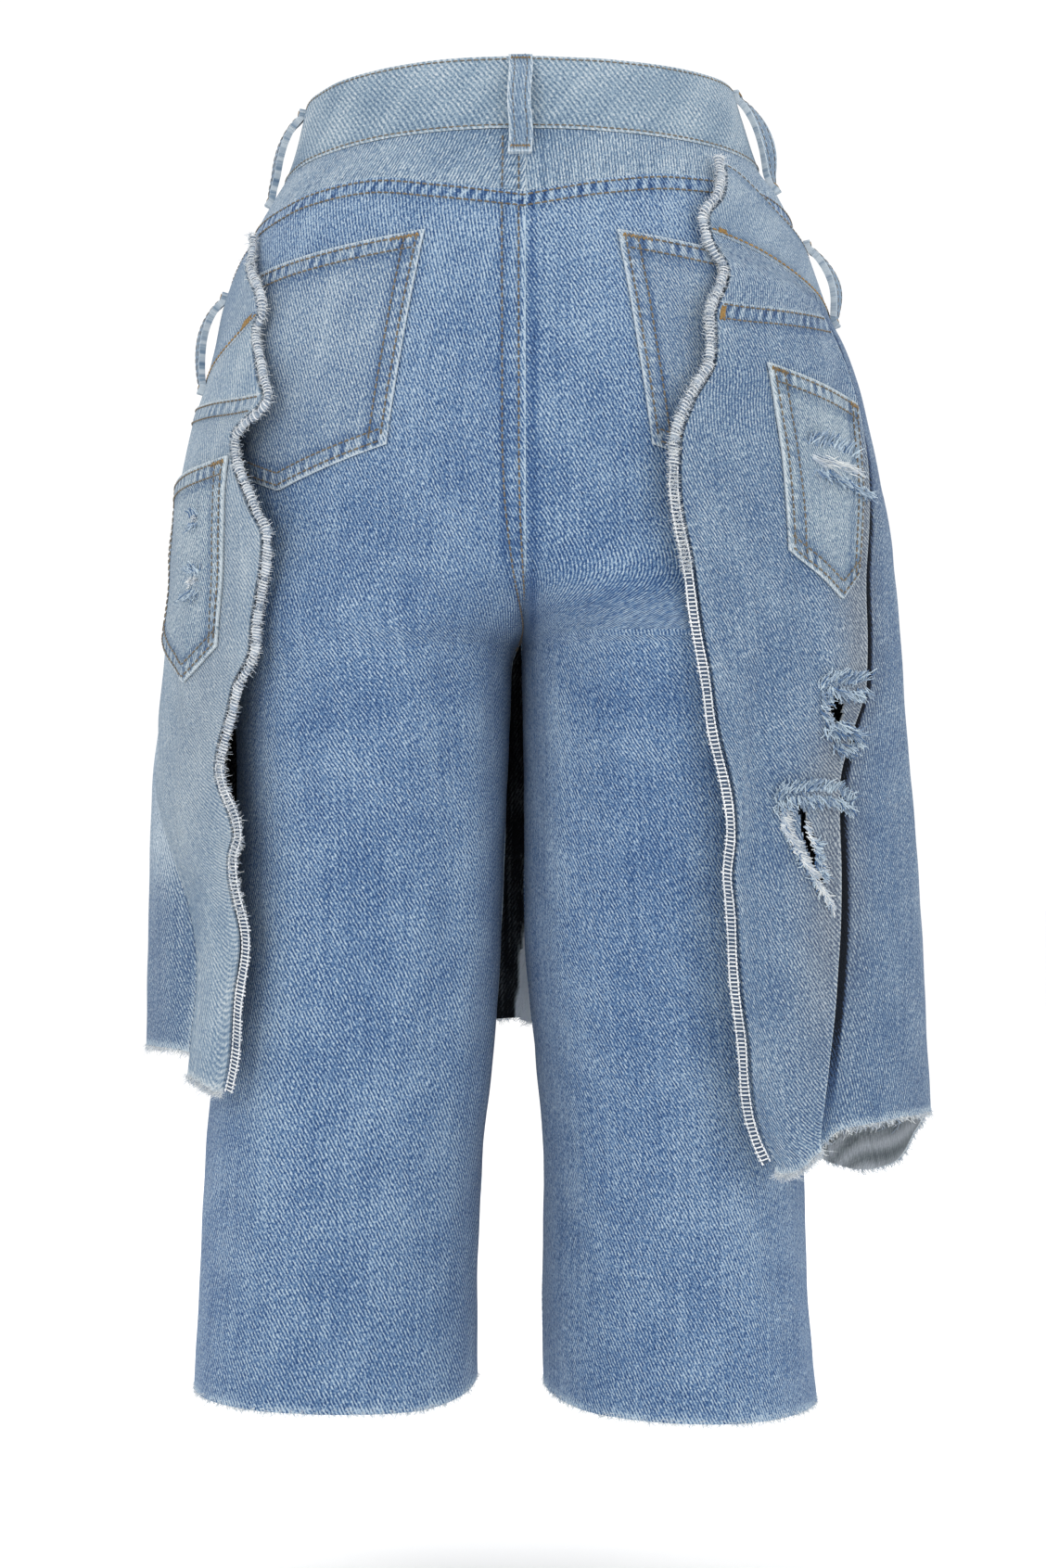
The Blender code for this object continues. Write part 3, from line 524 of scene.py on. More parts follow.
def washed_denim(name, dark, middle, pale, lean=-28.0, contrast=1.0):
    """Stone-washed cotton twill, woven with blue warp over white weft: steep diagonal lines
    of broken slubs, upright streaks, clouds from the wash and puckers beside the seams. A
    very low tone is painted nearly black: painted shade in the deep fold, and a few specks.
    Real twill lines are 0.8 mm apart, drawn 1.7 mm apart so that they show."""
    material, tree = new_material(name)
    flat = node(tree, "UVMap", uv_map="flat")
    turned = node(tree, "Mapping", {"Vector": flat, "Rotation": (0, 0, math.radians(lean))})
    twill = node(tree, "TexWave", {
        "Vector": turned, "Scale": WAVE_UNIT / TWILL_PITCH, "Distortion": 1.6, "Detail": 2.0,
        "Detail Scale": 1.8,
    }, 1)
    slub_place = node(tree, "Mapping", {
        "Vector": turned, "Scale": (1 / SLUB_WIDTH, 1 / SLUB_LENGTH, 1),
    })
    slubs = node(tree, "TexNoise", {"Vector": slub_place, "Scale": 1.0, "Detail": 2.0})
    speck = node(tree, "TexNoise", {"Vector": flat, "Scale": 1 / SPECK, "Detail": 2.0})
    streak_place = node(tree, "Mapping", {
        "Vector": flat, "Scale": (1 / STREAK_WIDTH, 1 / STREAK_LENGTH, 1),
    })
    streaks = node(tree, "TexNoise", {"Vector": streak_place, "Scale": 1.0, "Detail": 3.0})
    clouds = node(tree, "TexNoise", {"Vector": flat, "Scale": 1 / CLOUD, "Detail": 6.0})
    uneven = node(tree, "TexNoise", {"Vector": flat, "Scale": 1 / PATCH, "Detail": 2.0})
    wash_and_painted_light = node(tree, "Attribute", attribute_name="wash_and_painted_light")
    parts = tree.nodes.new("ShaderNodeSeparateColor")
    tree.links.new(wash_and_painted_light, parts.inputs[0])
    patchy = node(tree, "MapRange", {0: uneven, 1: 0.36, 2: 0.62, 3: 0.15, 4: 1.25})
    ropes = 0.0
    for direction, mask in (("X", parts.outputs[1]), ("Y", parts.outputs[2])):
        wave = node(tree, "TexWave", {
            "Vector": flat, "Scale": WAVE_UNIT / ROPE_PITCH, "Distortion": 4.5, "Detail": 2.0,
            "Detail Scale": 0.5,
        }, 1, bands_direction=direction)
        swing = node(tree, "Math", {0: wave, 1: 0.6}, operation="SUBTRACT")
        near = node(tree, "Math", {0: swing, 1: mask}, operation="MULTIPLY")
        ropes = node(tree, "Math", {0: near, 1: patchy, 2: ropes}, operation="MULTIPLY_ADD")
    total = node(tree, "Math", {0: ropes, 1: 0.85, 2: parts.outputs[0]}, operation="MULTIPLY_ADD")
    weave = 0.0
    for texture, share in ((twill, 0.7), (slubs, 2.3), (speck, 1.7)):
        swing = node(tree, "Math", {0: texture, 1: 0.5}, operation="SUBTRACT")
        weave = node(tree, "Math", {0: swing, 1: share, 2: weave}, operation="MULTIPLY_ADD")
    for texture, share in ((streaks, 0.5), (clouds, 0.55)):
        swing = node(tree, "Math", {0: texture, 1: 0.5}, operation="SUBTRACT")
        total = node(tree, "Math", {0: swing, 1: share, 2: total}, operation="MULTIPLY_ADD")
    total = node(tree, "Math", {0: weave, 1: contrast, 2: total}, operation="MULTIPLY_ADD")
    low = node(tree, "MapRange", {0: total, 1: 0.0, 2: 0.5})
    high = node(tree, "MapRange", {0: total, 1: 0.5, 2: 1.1})
    blue = node(
        tree, "Mix", {0: low, 6: colour(dark), 7: colour(middle)}, 2, data_type="RGBA",
    )
    blue = node(tree, "Mix", {0: high, 6: blue, 7: colour(pale)}, 2, data_type="RGBA")
    # Painted shade: a very low tone, as in the deep fold, is drawn nearly black.
    deep = node(tree, "MapRange", {0: total, 1: -0.3, 2: -0.85, 3: 0.0, 4: 0.92})
    blue = node(tree, "Mix", {0: deep, 6: blue, 7: colour("#0e151c")}, 2, data_type="RGBA")
    cast = node(tree, "Attribute", attribute_name="wash_and_painted_light", take=3)
    dull = node(tree, "HueSaturation", {"Saturation": 0.5, "Value": 0.72, "Color": blue})
    blue = node(tree, "Mix", {0: cast, 6: blue, 7: dull}, 2, data_type="RGBA")
    relief = node(tree, "Math", {0: ropes, 1: 2.2, 2: weave}, operation="MULTIPLY_ADD")
    bump = node(tree, "Bump", {"Height": relief, "Strength": 0.8, "Distance": WEAVE_BUMP * MM})
    return finished(material, blue, 0.88, bump, sheen=0.06)


leg_denim = washed_denim("stone washed denim", "#234270", "#547397", "#acbecd")
denim_inside = washed_denim("denim wrong side", "#4d5a6b", "#7b8896", "#b6bec4", contrast=0.7)
raw_edge = washed_denim("raw denim edge", "#8899ad", "#b6c2cc", "#dfe3e2", contrast=0.6)


def leg_tone(side, face):
    """Paler on the seat, at the knee, on the raised folds and at the raw hem; on the right a
    painted shadow lies beside the lapped seat seam."""
    def tone(u, v, points):
        z = points[..., 2] / MM
        x = abs(points[..., 0]) / MM
        around = u if side * face == 1 else 1 - u
        seat = 0.14 * bell(z, -60, 62) + 0.08 * bell(z, -150, 60) * bell(x, 85, 50)
        knee = 0.06 * bell(z, -540, 90) * bell(around, 0.45, 0.25)
        worn = base_lift(side, face, around, points[..., 2]) * 0.035
        above_hem = z - leg_hem(side, around) / MM
        hem = 0.4 * ease((5.5 - above_hem) / 4) * (0.7 + 0.3 * np.sin(u * 37 + side))
        shade = seat + knee + worn + hem - 0.03
        # Painted shadow: a dark line right of the lapped seat seam.
        if (side, face) == (RIGHT, BACK):
            shade = shade - 0.35 * bell(x, 7, 2.2) * ease((z + 290) / 20)
        return shade

    return tone


LEG_SIZE = (232, 635)
legs = {}
for side in (LEFT, RIGHT):
    for face, cell in ((BACK, 2.9), (FRONT, 4.2)):
        word = "back" if face == BACK else "front"

        def top(around, side=side, face=face):
            """Just under the yoke at the back, and under the waistband at the front."""
            if face == BACK:
                return yoke_seam(side, around) - SEAM_GAP / 2 * MM
            return waist_edge("bottom", side, face, around) - SEAM_GAP * MM

        def bottom(around, side=side):
            """The raw hem."""
            return leg_hem(side, around)

        def lift(around, height, side=side, face=face):
            """What the felled seams stand up: more on the left, which laps over."""
            seam = read(YOKE, side_word(side), around) - height / MM
            centre = (1 - around) * leg_girth(side, face, height)
            risen = fell(seam) if face == BACK else 0
            above = ease((height / MM + 268) / 30)
            lapped = fell(centre) * above * (1.3 if side == LEFT else 0.2)
            return np.maximum(risen, lapped) if face == BACK else lapped * 0.6

        inner_edge = "right" if side * face == 1 else "left"
        outer_edge = "left" if side * face == 1 else "right"
        strong = 0.34 if side == LEFT else 0.12
        legs[side, face] = cloth(
            f"leg_{word}_{side_word(side)}",
            base_surface(side, face, top, bottom, lift), LEG_SIZE, cell, DENIM,
            (leg_denim, denim_inside, raw_edge),
            seams={
                "top": (1.0 if face == BACK else 0.3, 0.1),
                inner_edge: (strong, 0.5 if side == LEFT else 0), outer_edge: (0.25, 0.1),
            },
            tone=leg_tone(side, face), raw=("bottom",),
        )


# ---------------------------------------------------------------- sewing thread
# Topstitching in thick polyester-cotton thread, tan where it is new and greyer where the
# wash has rubbed it, three millimetres a stitch, each end sunk into its needle hole.
def sewing_thread(name, dark, pale):
    """Spun thread: short twisted fibres that a fine noise along each stitch stands for."""
    material, tree = new_material(name)
    place = node(tree, "TexCoord", take=3)
    fibres = node(tree, "TexNoise", {"Vector": place, "Scale": 900.0, "Detail": 2.0})
    patches = node(tree, "TexNoise", {"Vector": place, "Scale": 60.0, "Detail": 2.0})
    share = node(tree, "Math", {0: fibres, 1: 0.9, 2: patches}, operation="MULTIPLY_ADD")
    share = node(tree, "Math", {0: share, 1: 0.45}, operation="SUBTRACT")
    tan = node(
        tree, "Mix", {0: share, 6: colour(dark), 7: colour(pale)}, 2, data_type="RGBA",
    )
    bump = node(tree, "Bump", {"Height": fibres, "Strength": 0.4, "Distance": THREAD_BUMP * MM})
    return finished(material, tan, 0.7, bump, sheen=0.1)


washed_thread = sewing_thread("rubbed tan thread", "#453f39", "#857a68")
gold_thread = sewing_thread("gold bartack thread", "#5f4a28", "#b18c4e")

STITCH, STITCH_GAP, THREAD = 2.9, 0.75, 0.44
THREAD_CORNERS = STITCH_RINGS = 4


def solid(name, places, faces, finish):
    """A piece of many small closed bodies, that rides on the garment."""
    mesh = bpy.data.meshes.new(name)
    mesh.from_pydata(places.reshape(-1, 3).tolist(), [], faces)
    mesh.shade_smooth()
    mesh.materials.append(finish)
    made = placed(name, mesh)
    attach(made, "root")
    return made


def tube_faces(bodies, rings, around):
    """The quads of many like tubes, ring by ring, and a face over each end."""
    ring = np.arange(rings - 1)[:, None] * around
    turn = np.arange(around)[None, :]
    after = (turn + 1) % around
    quads = np.stack((ring + turn, ring + after, ring + around + after, ring + around + turn), -1)
    start = (np.arange(bodies) * rings * around)[:, None, None]
    quads = (quads.reshape(1, -1, 4) + start).reshape(-1, 4).tolist()
    first = (np.arange(around)[::-1] + start[:, 0]).tolist()
    last = (np.arange(around) + (rings - 1) * around + start[:, 0]).tolist()
    return quads + first + last


def tubes(centres, aside, up, wide, high):
    """Rings round many centre lines: an oval of half width wide and half height high."""
    turn = np.linspace(0, 2 * np.pi, THREAD_CORNERS + 1)[:-1] + np.pi / THREAD_CORNERS
    across = aside[..., None, :] * (np.cos(turn)[:, None] * wide[..., None, None])
    upward = up[..., None, :] * (np.sin(turn)[:, None] * high[..., None, None])
    return centres[..., None, :] + across + upward


def along_path(points, way, at):
    """Points read off a path at the given lengths along it."""
    return np.stack([np.interp(at, way, points[:, axis]) for axis in range(3)], -1)


def stitch_row(points, normals, length=STITCH, gap=STITCH_GAP, thick=THREAD):
    """One row of stitches: each a short arched bar along the path, thinner at its ends."""
    way = run(points, 0)
    count = max(1, int(way[-1] / (length + gap)))
    pitch = way[-1] / count
    share = np.array((0.0, 0.22, 0.78, 1.0))
    at = (np.arange(count)[:, None] + 0.5) * pitch + (share - 0.5) * (pitch - gap)
    centres = along_path(points, way, at)
    up = unit(along_path(normals, way, at))
    ahead = unit(along_path(points, way, at + 0.2) - along_path(points, way, at - 0.2))
    aside = unit(np.cross(ahead, up))
    rise = np.array((-0.2, 0.75, 0.75, -0.2)) * thick * MM
    girth = np.broadcast_to(np.array((0.6, 1.0, 1.0, 0.6)) * thick * MM, at.shape)
    return tubes(centres + up * rise[:, None], aside, up, girth * 1.25, girth * 0.8)


def sew(name, rows, finish, **kind):
    """One piece of all the stitches along some paths, each path on a surface by u and v."""
    bodies = []
    for surface, u, v in rows:
        u, v = np.broadcast_arrays(np.asarray(u, float), np.asarray(v, float))
        bodies.append(stitch_row(surface(u, v), facing(surface, u, v), **kind))
    places = np.concatenate(bodies)
    return solid(name, places, tube_faces(len(places), STITCH_RINGS, THREAD_CORNERS), finish)


def inset(piece, edge, distance, start=0.0, stop=1.0):
    """A path this far in from a cloth's edge: its share of the width or length there."""
    s = np.linspace(start, stop, 260)
    if edge in ("left", "right"):
        share = distance / np.interp(s, piece["vs"], piece["widths"])
        return piece["surface"], (share if edge == "left" else 1 - share), s
    share = distance / np.interp(s, piece["us"], piece["lengths"])
    return piece["surface"], s, (share if edge == "top" else 1 - share)


YOKE_ROWS, SEAT_ROWS, SIDE_ROW = (2.0, 8.4), (3.1, 10.2), 2.4
SEAT_END, FRONT_END = 0.375, 0.3
rows = [inset(legs[side, BACK], "top", at) for side in (LEFT, RIGHT) for at in YOKE_ROWS]
rows += [inset(legs[LEFT, BACK], "right", at, 0.012, SEAT_END) for at in SEAT_ROWS]
rows += [inset(legs[RIGHT, FRONT], "right", at, 0.01, FRONT_END) for at in SEAT_ROWS]
sew("stitching_seat_and_yoke", rows, washed_thread)
rows = [
    inset(legs[side, FRONT], edge, SIDE_ROW, 0, FRONT_END)
    for side, edge in ((LEFT, "right"), (RIGHT, "left"))
]
sew("stitching_side_seams", rows, washed_thread)


# ---------------------------------------------------------------- yokes
# The back yokes: shallow pieces of the same denim under the waistband, washed paler than
# the legs and darker only beside the centre seam.
yoke_denim = washed_denim("yoke denim", "#46607f", "#7c92a6", "#c1cbd2", lean=-8.0)


def yoke_tone(side):
    """Darker beside the centre seam and under the waistband's edge."""
    def tone(u, v, points):
        middle = u if side == LEFT else 1 - u
        return -0.22 * bell(middle, 1, 0.22) * bell(v, 0.2, 0.5) - 0.14 * bell(v, 0, 0.12)

    return tone


for side in (LEFT, RIGHT):
    def top(around, side=side):
        """Just under the waistband."""
        return waist_edge("bottom", side, BACK, around) - SEAM_GAP * MM

    def bottom(around, side=side):
        """Just above the leg."""
        return yoke_seam(side, around) + SEAM_GAP / 2 * MM

    def lift(around, height, side=side):
        """What the felled centre seam stands up: more on the left, which laps over."""
        centre = (1 - around) * leg_girth(side, BACK, height)
        return fell(centre) * (1.1 if side == LEFT else 0.2)

    yoke = cloth(
        f"yoke_{side_word(side)}", base_surface(side, BACK, top, bottom, lift),
        (190, 32), 2.6, DENIM, (yoke_denim, denim_inside, raw_edge),
        seams={
            "bottom": (0.25, 0.1),
            "right" if side == LEFT else "left": (0.4 if side == LEFT else 0.1, 0.3),
        },
        tone=yoke_tone(side), near=(0, 1.1, 2.6, 5),
    )
    if side == LEFT:
        rows = [inset(yoke, "right", at, 0.1, 0.99) for at in SEAT_ROWS]
        sew("stitching_yoke_centre", rows, washed_thread)


# ---------------------------------------------------------------- waistband
# The waistband: a strip of denim folded double round a stiffener, its edges worn pale, the
# left end lapped over the right at the front and closed with a shank button.
BAND_WALL, BAND_PROUD = 2.4, 0.7
BAND_OVERLAP, WAIST_RADIUS, SINK_START = 16, 115.5, 2.2
BAND_LENGTH, BAND_DEPTH = 720, 43
band_denim = washed_denim(
    "waistband denim", "#4e6781", "#8095a6", "#c3cbd0", lean=-58.0, contrast=0.7,
)


def band_place(position):
    """Which side and face a place round the band is on, and how far round from the seam.
    The position runs from 0 to 4 from the centre front, the wearer's left side first."""
    quarter = np.floor(position) % 4
    share = position - np.floor(position)
    side = np.where(quarter < 2, LEFT, RIGHT)
    face = np.where((quarter == 1) | (quarter == 2), BACK, FRONT)
    around = np.where((quarter == 0) | (quarter == 2), 1 - share, share)
    return side, face, around


def band_surface(u, v):
    """The strip from edge to edge; a swell across it shows that it is folded double."""
    lap = BAND_OVERLAP * MM / (np.pi / 2 * WAIST_RADIUS * MM)
    position = mixed(-lap, 4 + lap, u)
    side, face, around = band_place(position)
    top = waist_edge("top", side, face, around)
    bottom = waist_edge("bottom", side, face, around)
    height = mixed(top, bottom, v)
    sink = (BAND_WALL + SEAM_GAP) * ease((position - 4) / lap + SINK_START)
    swell = 0.5 * (1 - (2 * v - 1) ** 6) - 0.5
    x = position * BAND_LENGTH / 4
    wavy = 0.25 * np.sin(x / 9 + 2 * np.sin(x / 31)) * np.sin(v * 3.1 + x / 47)
    lift = (BAND_PROUD - sink + swell + wavy) * MM
    out = base_normal(side, face, around, height)
    return base_form(side, face, around, height) + out * lift[..., None]


def band_tone(u, v, points):
    """Uneven along the strip, pale on both worn edges and dark inside the lower one."""
    x = u * BAND_LENGTH
    spots = 0.1 * np.sin(x / 17 + 2 * np.sin(x / 41)) * np.sin(v * 5 + x / 23)
    return spots + 0.26 * bell(v, 1, 0.035) + 0.2 * bell(v, 0, 0.03) - 0.12 * bell(v, 0.9, 0.05)


waistband = cloth(
    "waistband", band_surface, (BAND_LENGTH, BAND_DEPTH), 3.0, BAND_WALL,
    (band_denim, band_denim, raw_edge), tone=band_tone,
    near=(0, 0.8, 1.8, 3.4, 6), rests_on="belt_loop_back",
)
rows = [inset(waistband, edge, 1.7) for edge in ("top", "bottom")]
sew("stitching_waistband", rows, washed_thread, thick=0.34)


# ---------------------------------------------------------------- patch pockets
# Five-sided patch pockets on the back: the top hem is turned twice and sewn with two rows,
# the sides and the point are pressed under, and a bartack locks each top corner.
PATCH_LIFT, PATCH_SINK, POCKET_WALL = 2.1, 0.5, 1.3
POCKET_WIDE, POCKET_TALL = 104, 112
BACK_POCKET = {
    "outer_top": (0.17, -92), "inner_top": (0.79, -73.5), "inner_bottom": (0.72, -184),
    "point": (0.4, -205.5), "outer_bottom": (0.14, -190),
}
POCKET_NEAR = (0, 0.9, 1.9, 3.4, 5.4, 8, 10.5)
pocket_denim = washed_denim("pocket denim", "#38547c", "#6a829b", "#b7c3cc")


def five_sided(corners, s, t):
    """A place in a pocket's outline: s from the outer side to the inner, t down."""
    at = {corner: np.array(place, float) for corner, place in corners.items()}
    s, t = np.asarray(s)[..., None], np.asarray(t)[..., None]
    head = mixed(at["outer_top"], at["inner_top"], s)
    outer_foot = mixed(at["outer_bottom"], at["point"], 2 * s)
    inner_foot = mixed(at["point"], at["inner_bottom"], 2 * s - 1)
    place = mixed(head, np.where(s < 0.5, outer_foot, inner_foot), t)
    return place[..., 0], place[..., 1]


def pocket_swell(s, t, wide, tall):
    """A patch is thick at its turned edges and hollow inside them, and a hand has made it
    belly a little, in mm."""
    edge = np.minimum(np.minimum(s, 1 - s) * wide, (1 - t) * tall)
    hem = t * tall
    thick = np.maximum(0.5 * ease((10 - edge) / 2), 0.75 * ease((10.5 - hem) / 2))
    ends = ease(edge / 0.9) * 0.35 - 0.35
    return thick + ends + 0.5 * np.sin(np.pi * s) * np.sin(np.pi * t)


def pocket_tone(u, v, points):
    """Paler where a hand has rubbed it, darker under the top hem and above the point."""
    worn = 0.12 * bell(u, 0.62, 0.25) * bell(v, 0.3, 0.3)
    under_hem = 0.1 * bell(v * POCKET_TALL, 13, 3)
    return worn - under_hem - 0.05 * bell(v, 0.8, 0.2) * bell(u, 0.6, 0.3)


POCKET_SEAMS = {
    "top": (1.0, 0.45), "left": (0.45, 0.6), "right": (0.45, 0.6), "bottom": (1.0, 0.6),
}


def pocket_rows(piece):
    """Two rows along the top hem, two down each side and two along the pointed foot."""
    found = [inset(piece, "top", at, 0.03, 0.97) for at in (2.4, 9.0)]
    for edge in ("left", "right"):
        found += [inset(piece, edge, at, 0.02, 0.95) for at in (3.0, 9.2)]
    return found + [inset(piece, "bottom", at, 0.03, 0.97) for at in (3.0, 9.4)]


def bartack(surface, u, v, wide, tall):
    """A bartack's zigzag, as a path of close crossings between two rows of the surface."""
    count = 14
    s = np.linspace(0, 1, count * 8)
    swing = np.abs((s * count) % 2 - 1) * 2 - 1
    return surface, u + (s - 0.5) * wide, v + swing * tall / 2


rows, bartacks = [], []
for side in (LEFT, RIGHT):
    def pocket_surface(u, v, side=side):
        """The outline's place on the base, raised by the patch and by most of the leg's own
        folds, which it follows."""
        s = u if side == LEFT else 1 - u
        around, z = five_sided(BACK_POCKET, s, v)
        height = z * MM
        out = base_normal(side, BACK, around, height)
        lift = PATCH_LIFT + base_lift(side, BACK, around, height) * 0.7
        lift = lift + pocket_swell(s, v, POCKET_WIDE, POCKET_TALL) - PATCH_SINK
        return base_form(side, BACK, around, height) + out * (lift * MM)[..., None]

    pocket = cloth(
        f"back_pocket_{side_word(side)}", pocket_surface, (106, 114), 2.2, POCKET_WALL,
        (pocket_denim, denim_inside, raw_edge), seams=POCKET_SEAMS,
        tone=pocket_tone, near=POCKET_NEAR, rests_on=f"leg_back_{side_word(side)}",
    )
    rows += pocket_rows(pocket)
    inner = 0.93 if side == LEFT else 0.07
    bartacks += [bartack(pocket_surface, u, 0.022, 0.11, 0.02) for u in (inner, 1 - inner)]
sew("stitching_back_pockets", rows, washed_thread)
sew("bartacks_back_pockets", bartacks, gold_thread, length=1.9, gap=0.1, thick=0.34)


# ---------------------------------------------------------------- fly and button
# The fly flap on the left front, sewn down with a curved double row, and the waistband's
# shank button: pressed brass, dulled by the wash.
FLY_TOP_GAP, FLY_BOTTOM = 0.6, -188
FLY_WIDE, FLY_TIP, FLY_INSET, FLY_TURN = 36, 12, 0.8, 0.7


def fly_surface(u, v):
    """The flap hangs from the waistband beside the centre and narrows at its foot."""
    top = waist_edge("bottom", LEFT, FRONT, 1.0) - FLY_TOP_GAP * MM
    height = mixed(top, FLY_BOTTOM * MM, v)
    foot = np.clip((v - FLY_TURN) / (1 - FLY_TURN), 0, 1)
    x = mixed(FLY_INSET, mixed(FLY_WIDE, FLY_TIP, foot * foot), u)
    around = 1 - np.arcsin(x / read(BODY, "left", height / MM)) / (np.pi / 2)
    out = base_normal(LEFT, FRONT, around, height)
    lift = PATCH_LIFT + 0.7 * base_lift(LEFT, FRONT, around, height)
    return base_form(LEFT, FRONT, around, height) + out * (lift * MM)[..., None]


fly = cloth(
    "fly", fly_surface, (FLY_WIDE, 147), 2.6, POCKET_WALL, (leg_denim, denim_inside, raw_edge),
    seams={"left": (0, 0.4), "right": (0.5, 0.4), "bottom": (0.3, 0.4)},
    near=(0, 1.0, 2.2, 4), rests_on="leg_front_left",
)
rows = [inset(fly, "right", at) for at in (2.2, 8.2)]
sew("stitching_fly", rows, washed_thread)


def worn_brass():
    """Pressed brass with a dulled, uneven skin: darker in the hollows of fine scratches."""
    material, tree = new_material("washed brass")
    place = node(tree, "TexCoord", take=3)
    grain = node(tree, "TexNoise", {"Vector": place, "Scale": 700.0, "Detail": 4.0})
    patch = node(tree, "TexNoise", {"Vector": place, "Scale": 180.0, "Detail": 2.0})
    skin = node(
        tree, "Mix", {0: patch, 6: colour("#5e4522"), 7: colour("#b08a4c")}, 2,
        data_type="RGBA",
    )
    bump = node(tree, "Bump", {"Height": grain, "Strength": 0.3, "Distance": 0.1 * MM})
    return finished(material, skin, 0.42, bump, metallic=1.0, specular=0.5)


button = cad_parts["waist_button"]
button.data.materials.clear()
button.data.materials.append(worn_brass())


# ---------------------------------------------------------------- second pair
# The cut-open panels of a second, paler pair, hung over the sides and the front, washed
# almost grey beside the deep fold at the right and on the left flap. The first table gives
# the oval that they hang on; an angle is 0 at the side, 90 at the back, -90 at the front.
OVER = (
    ("height", "left", "right", "back", "front"),
    (-20, 131, 133, 104, 95),
    (-40, 136, 143.5, 109, 97.5),
    (-57, 144, 150, 113.5, 99.5),
    (-72, 148.5, 154.5, 117.5, 101.5),
    (-85, 153, 159, 120.5, 102.8),
    (-95, 156.5, 162.5, 123, 104),
    (-105, 159.5, 166, 125.5, 105),
    (-125, 163.5, 176, 129, 106.8),
    (-145, 169, 183, 132, 108.3),
    (-165, 175.5, 188, 133.5, 109.8),
    (-205, 183.5, 196, 134, 115),
    (-245, 186, 200.5, 131, 120),
    (-285, 190.5, 204, 127, 124),
    (-325, 194.5, 206.5, 125, 126.5),
    (-365, 198, 210.5, 123, 128),
    (-445, 200, 217, 122, 130),
    (-500, 200.5, 220, 122, 131),
    (-580, 201, 224, 124, 133),
)
EDGE = {
    LEFT: (
        ("height", "angle"),
        (-66, 15), (-85, 23.5), (-103, 33), (-112, 34.5),
        (-120, 32.5), (-144, 38), (-160, 42.5), (-178, 34.5), (-212, 42), (-230, 46),
        (-262, 44.6), (-287, 45), (-311, 40.5), (-350, 38.6), (-386, 43), (-395, 42.3),
        (-440, 45), (-490, 43.2), (-518, 41.6),
    ),
    RIGHT: (
        ("height", "angle"),
        (-30, 41), (-52, 46.5), (-66, 52), (-76, 51.7), (-90, 49),
        (-118, 56), (-140, 57.5), (-162, 62.8), (-184, 66), (-205, 66.4), (-260, 64.4),
        (-321, 62), (-360, 60.1), (-384, 59.5), (-408, 60.3), (-475, 59.3), (-526, 58),
        (-541, 57), (-553, 55.5),
    ),
}
SIDE = (
    ("height", "left", "right"),
    (-66, 0, 12),
    (-110, -3, 17),
    (-147, -6, 17),
    (-165, -7.5, 16.5),
    (-206, -9, 20),
    (-250, -7, 25.5),
    (-304, -2, 27.5),
    (-330, 6, 33),
    (-360, 14, 37.5),
    (-423, 30, 39),
    (-456, 32.5, 40.4),
    (-500, 30.5, 42.7),
    (-540, 28, 45),
)
SECOND_BAND = (
    ("round", "top", "bottom"),
    (-34, -66, -113),
    (-17, -73, -131),
    (0, -90, -146),
    (45, -117, -160),
    (90, -128, -166),
    (135, -110, -150),
    (180, -75, -109),
    (202, -58, -93),
    (220, -34, -79),
    (230, -29, -73),
)
SECOND_YOKE_SEAM = {LEFT: -156, RIGHT: -110}
SECOND_HEM = (
    ("angle", "left", "right"),
    (-90, -491, -492),
    (-75, -494, -508),
    (-60, -498, -538),
    (-45, -502, -563),
    (-32, -503, -572),
    (-22, -501, -566),
    (-12, -499, -546),
    (0, -498, -533),
    (22, -497, -533),
    (33, -499, -535),
    (41, -503, -538),
    (44, -505, -545),
    (52, -512, -559),
    (60, -518, -552),
)
SECOND_FOLDS = {
    RIGHT: (
        (52, 3, -2.2, 5, -270, -560),
        (8, 5, 2.6, 6, -200, -540),
        (-28, 6, 5, 8, -260, -600),
        (-58, -4, -4.5, 8, -230, -600),
        (-78, 2, 4, 6, -210, -600),
    ),
    LEFT: (
        (20, 8, 2.6, 6, -330, -540),
        (-26, -5, 4.5, 8, -240, -560),
        (-55, 4, -4.5, 8, -220, -560),
        (-79, 0, 3.6, 6, -210, -560),
    ),
}
SECOND_CREASES = {
    RIGHT: (
        (150, -250, 175, -470, 1.6, 7),
        (128, -190, 112, -330, -1.2, 8),
        (90, -280, 100, -520, 1.0, 10),
        (-40, -190, 20, -240, 1.4, 9),
        (-150, -180, -60, -260, 1.6, 10),
        (-170, -300, -110, -420, -1.5, 11),
        (-60, -330, -20, -500, 1.5, 11),
    ),
    LEFT: (
        (60, -250, 84, -420, 1.3, 7),
        (100, -330, 116, -500, -1.2, 8),
        (30, -300, 52, -480, 1.1, 9),
        (-50, -190, 20, -250, 1.4, 9),
        (-160, -190, -60, -250, 1.6, 10),
        (-170, -320, -100, -430, -1.5, 11),
    ),
}
EDGE_CURL, CURL_REACH, WAVE_LENGTH, MEAN_RADIUS = 3.2, 14, 62, 160
ROLL_RADIUS, ROLL_CLEAR, SIDE_CLEAR = 2.2, {LEFT: 1.5, RIGHT: 1.1}, 0.6


def over_form(side, angle, height):
    """An oval round the base, 0 degrees at the side and 90 at the centre back."""
    z, turn = np.asarray(height) / MM, np.radians(angle)
    left = np.asarray(side) < 0
    wide = np.where(left, read(OVER, "left", z), read(OVER, "right", z))
    deep = np.where(np.asarray(angle) > 0, read(OVER, "back", z), read(OVER, "front", z))
    return np.stack((side * wide * np.cos(turn), -deep * np.sin(turn), z + 0 * turn), -1) * MM


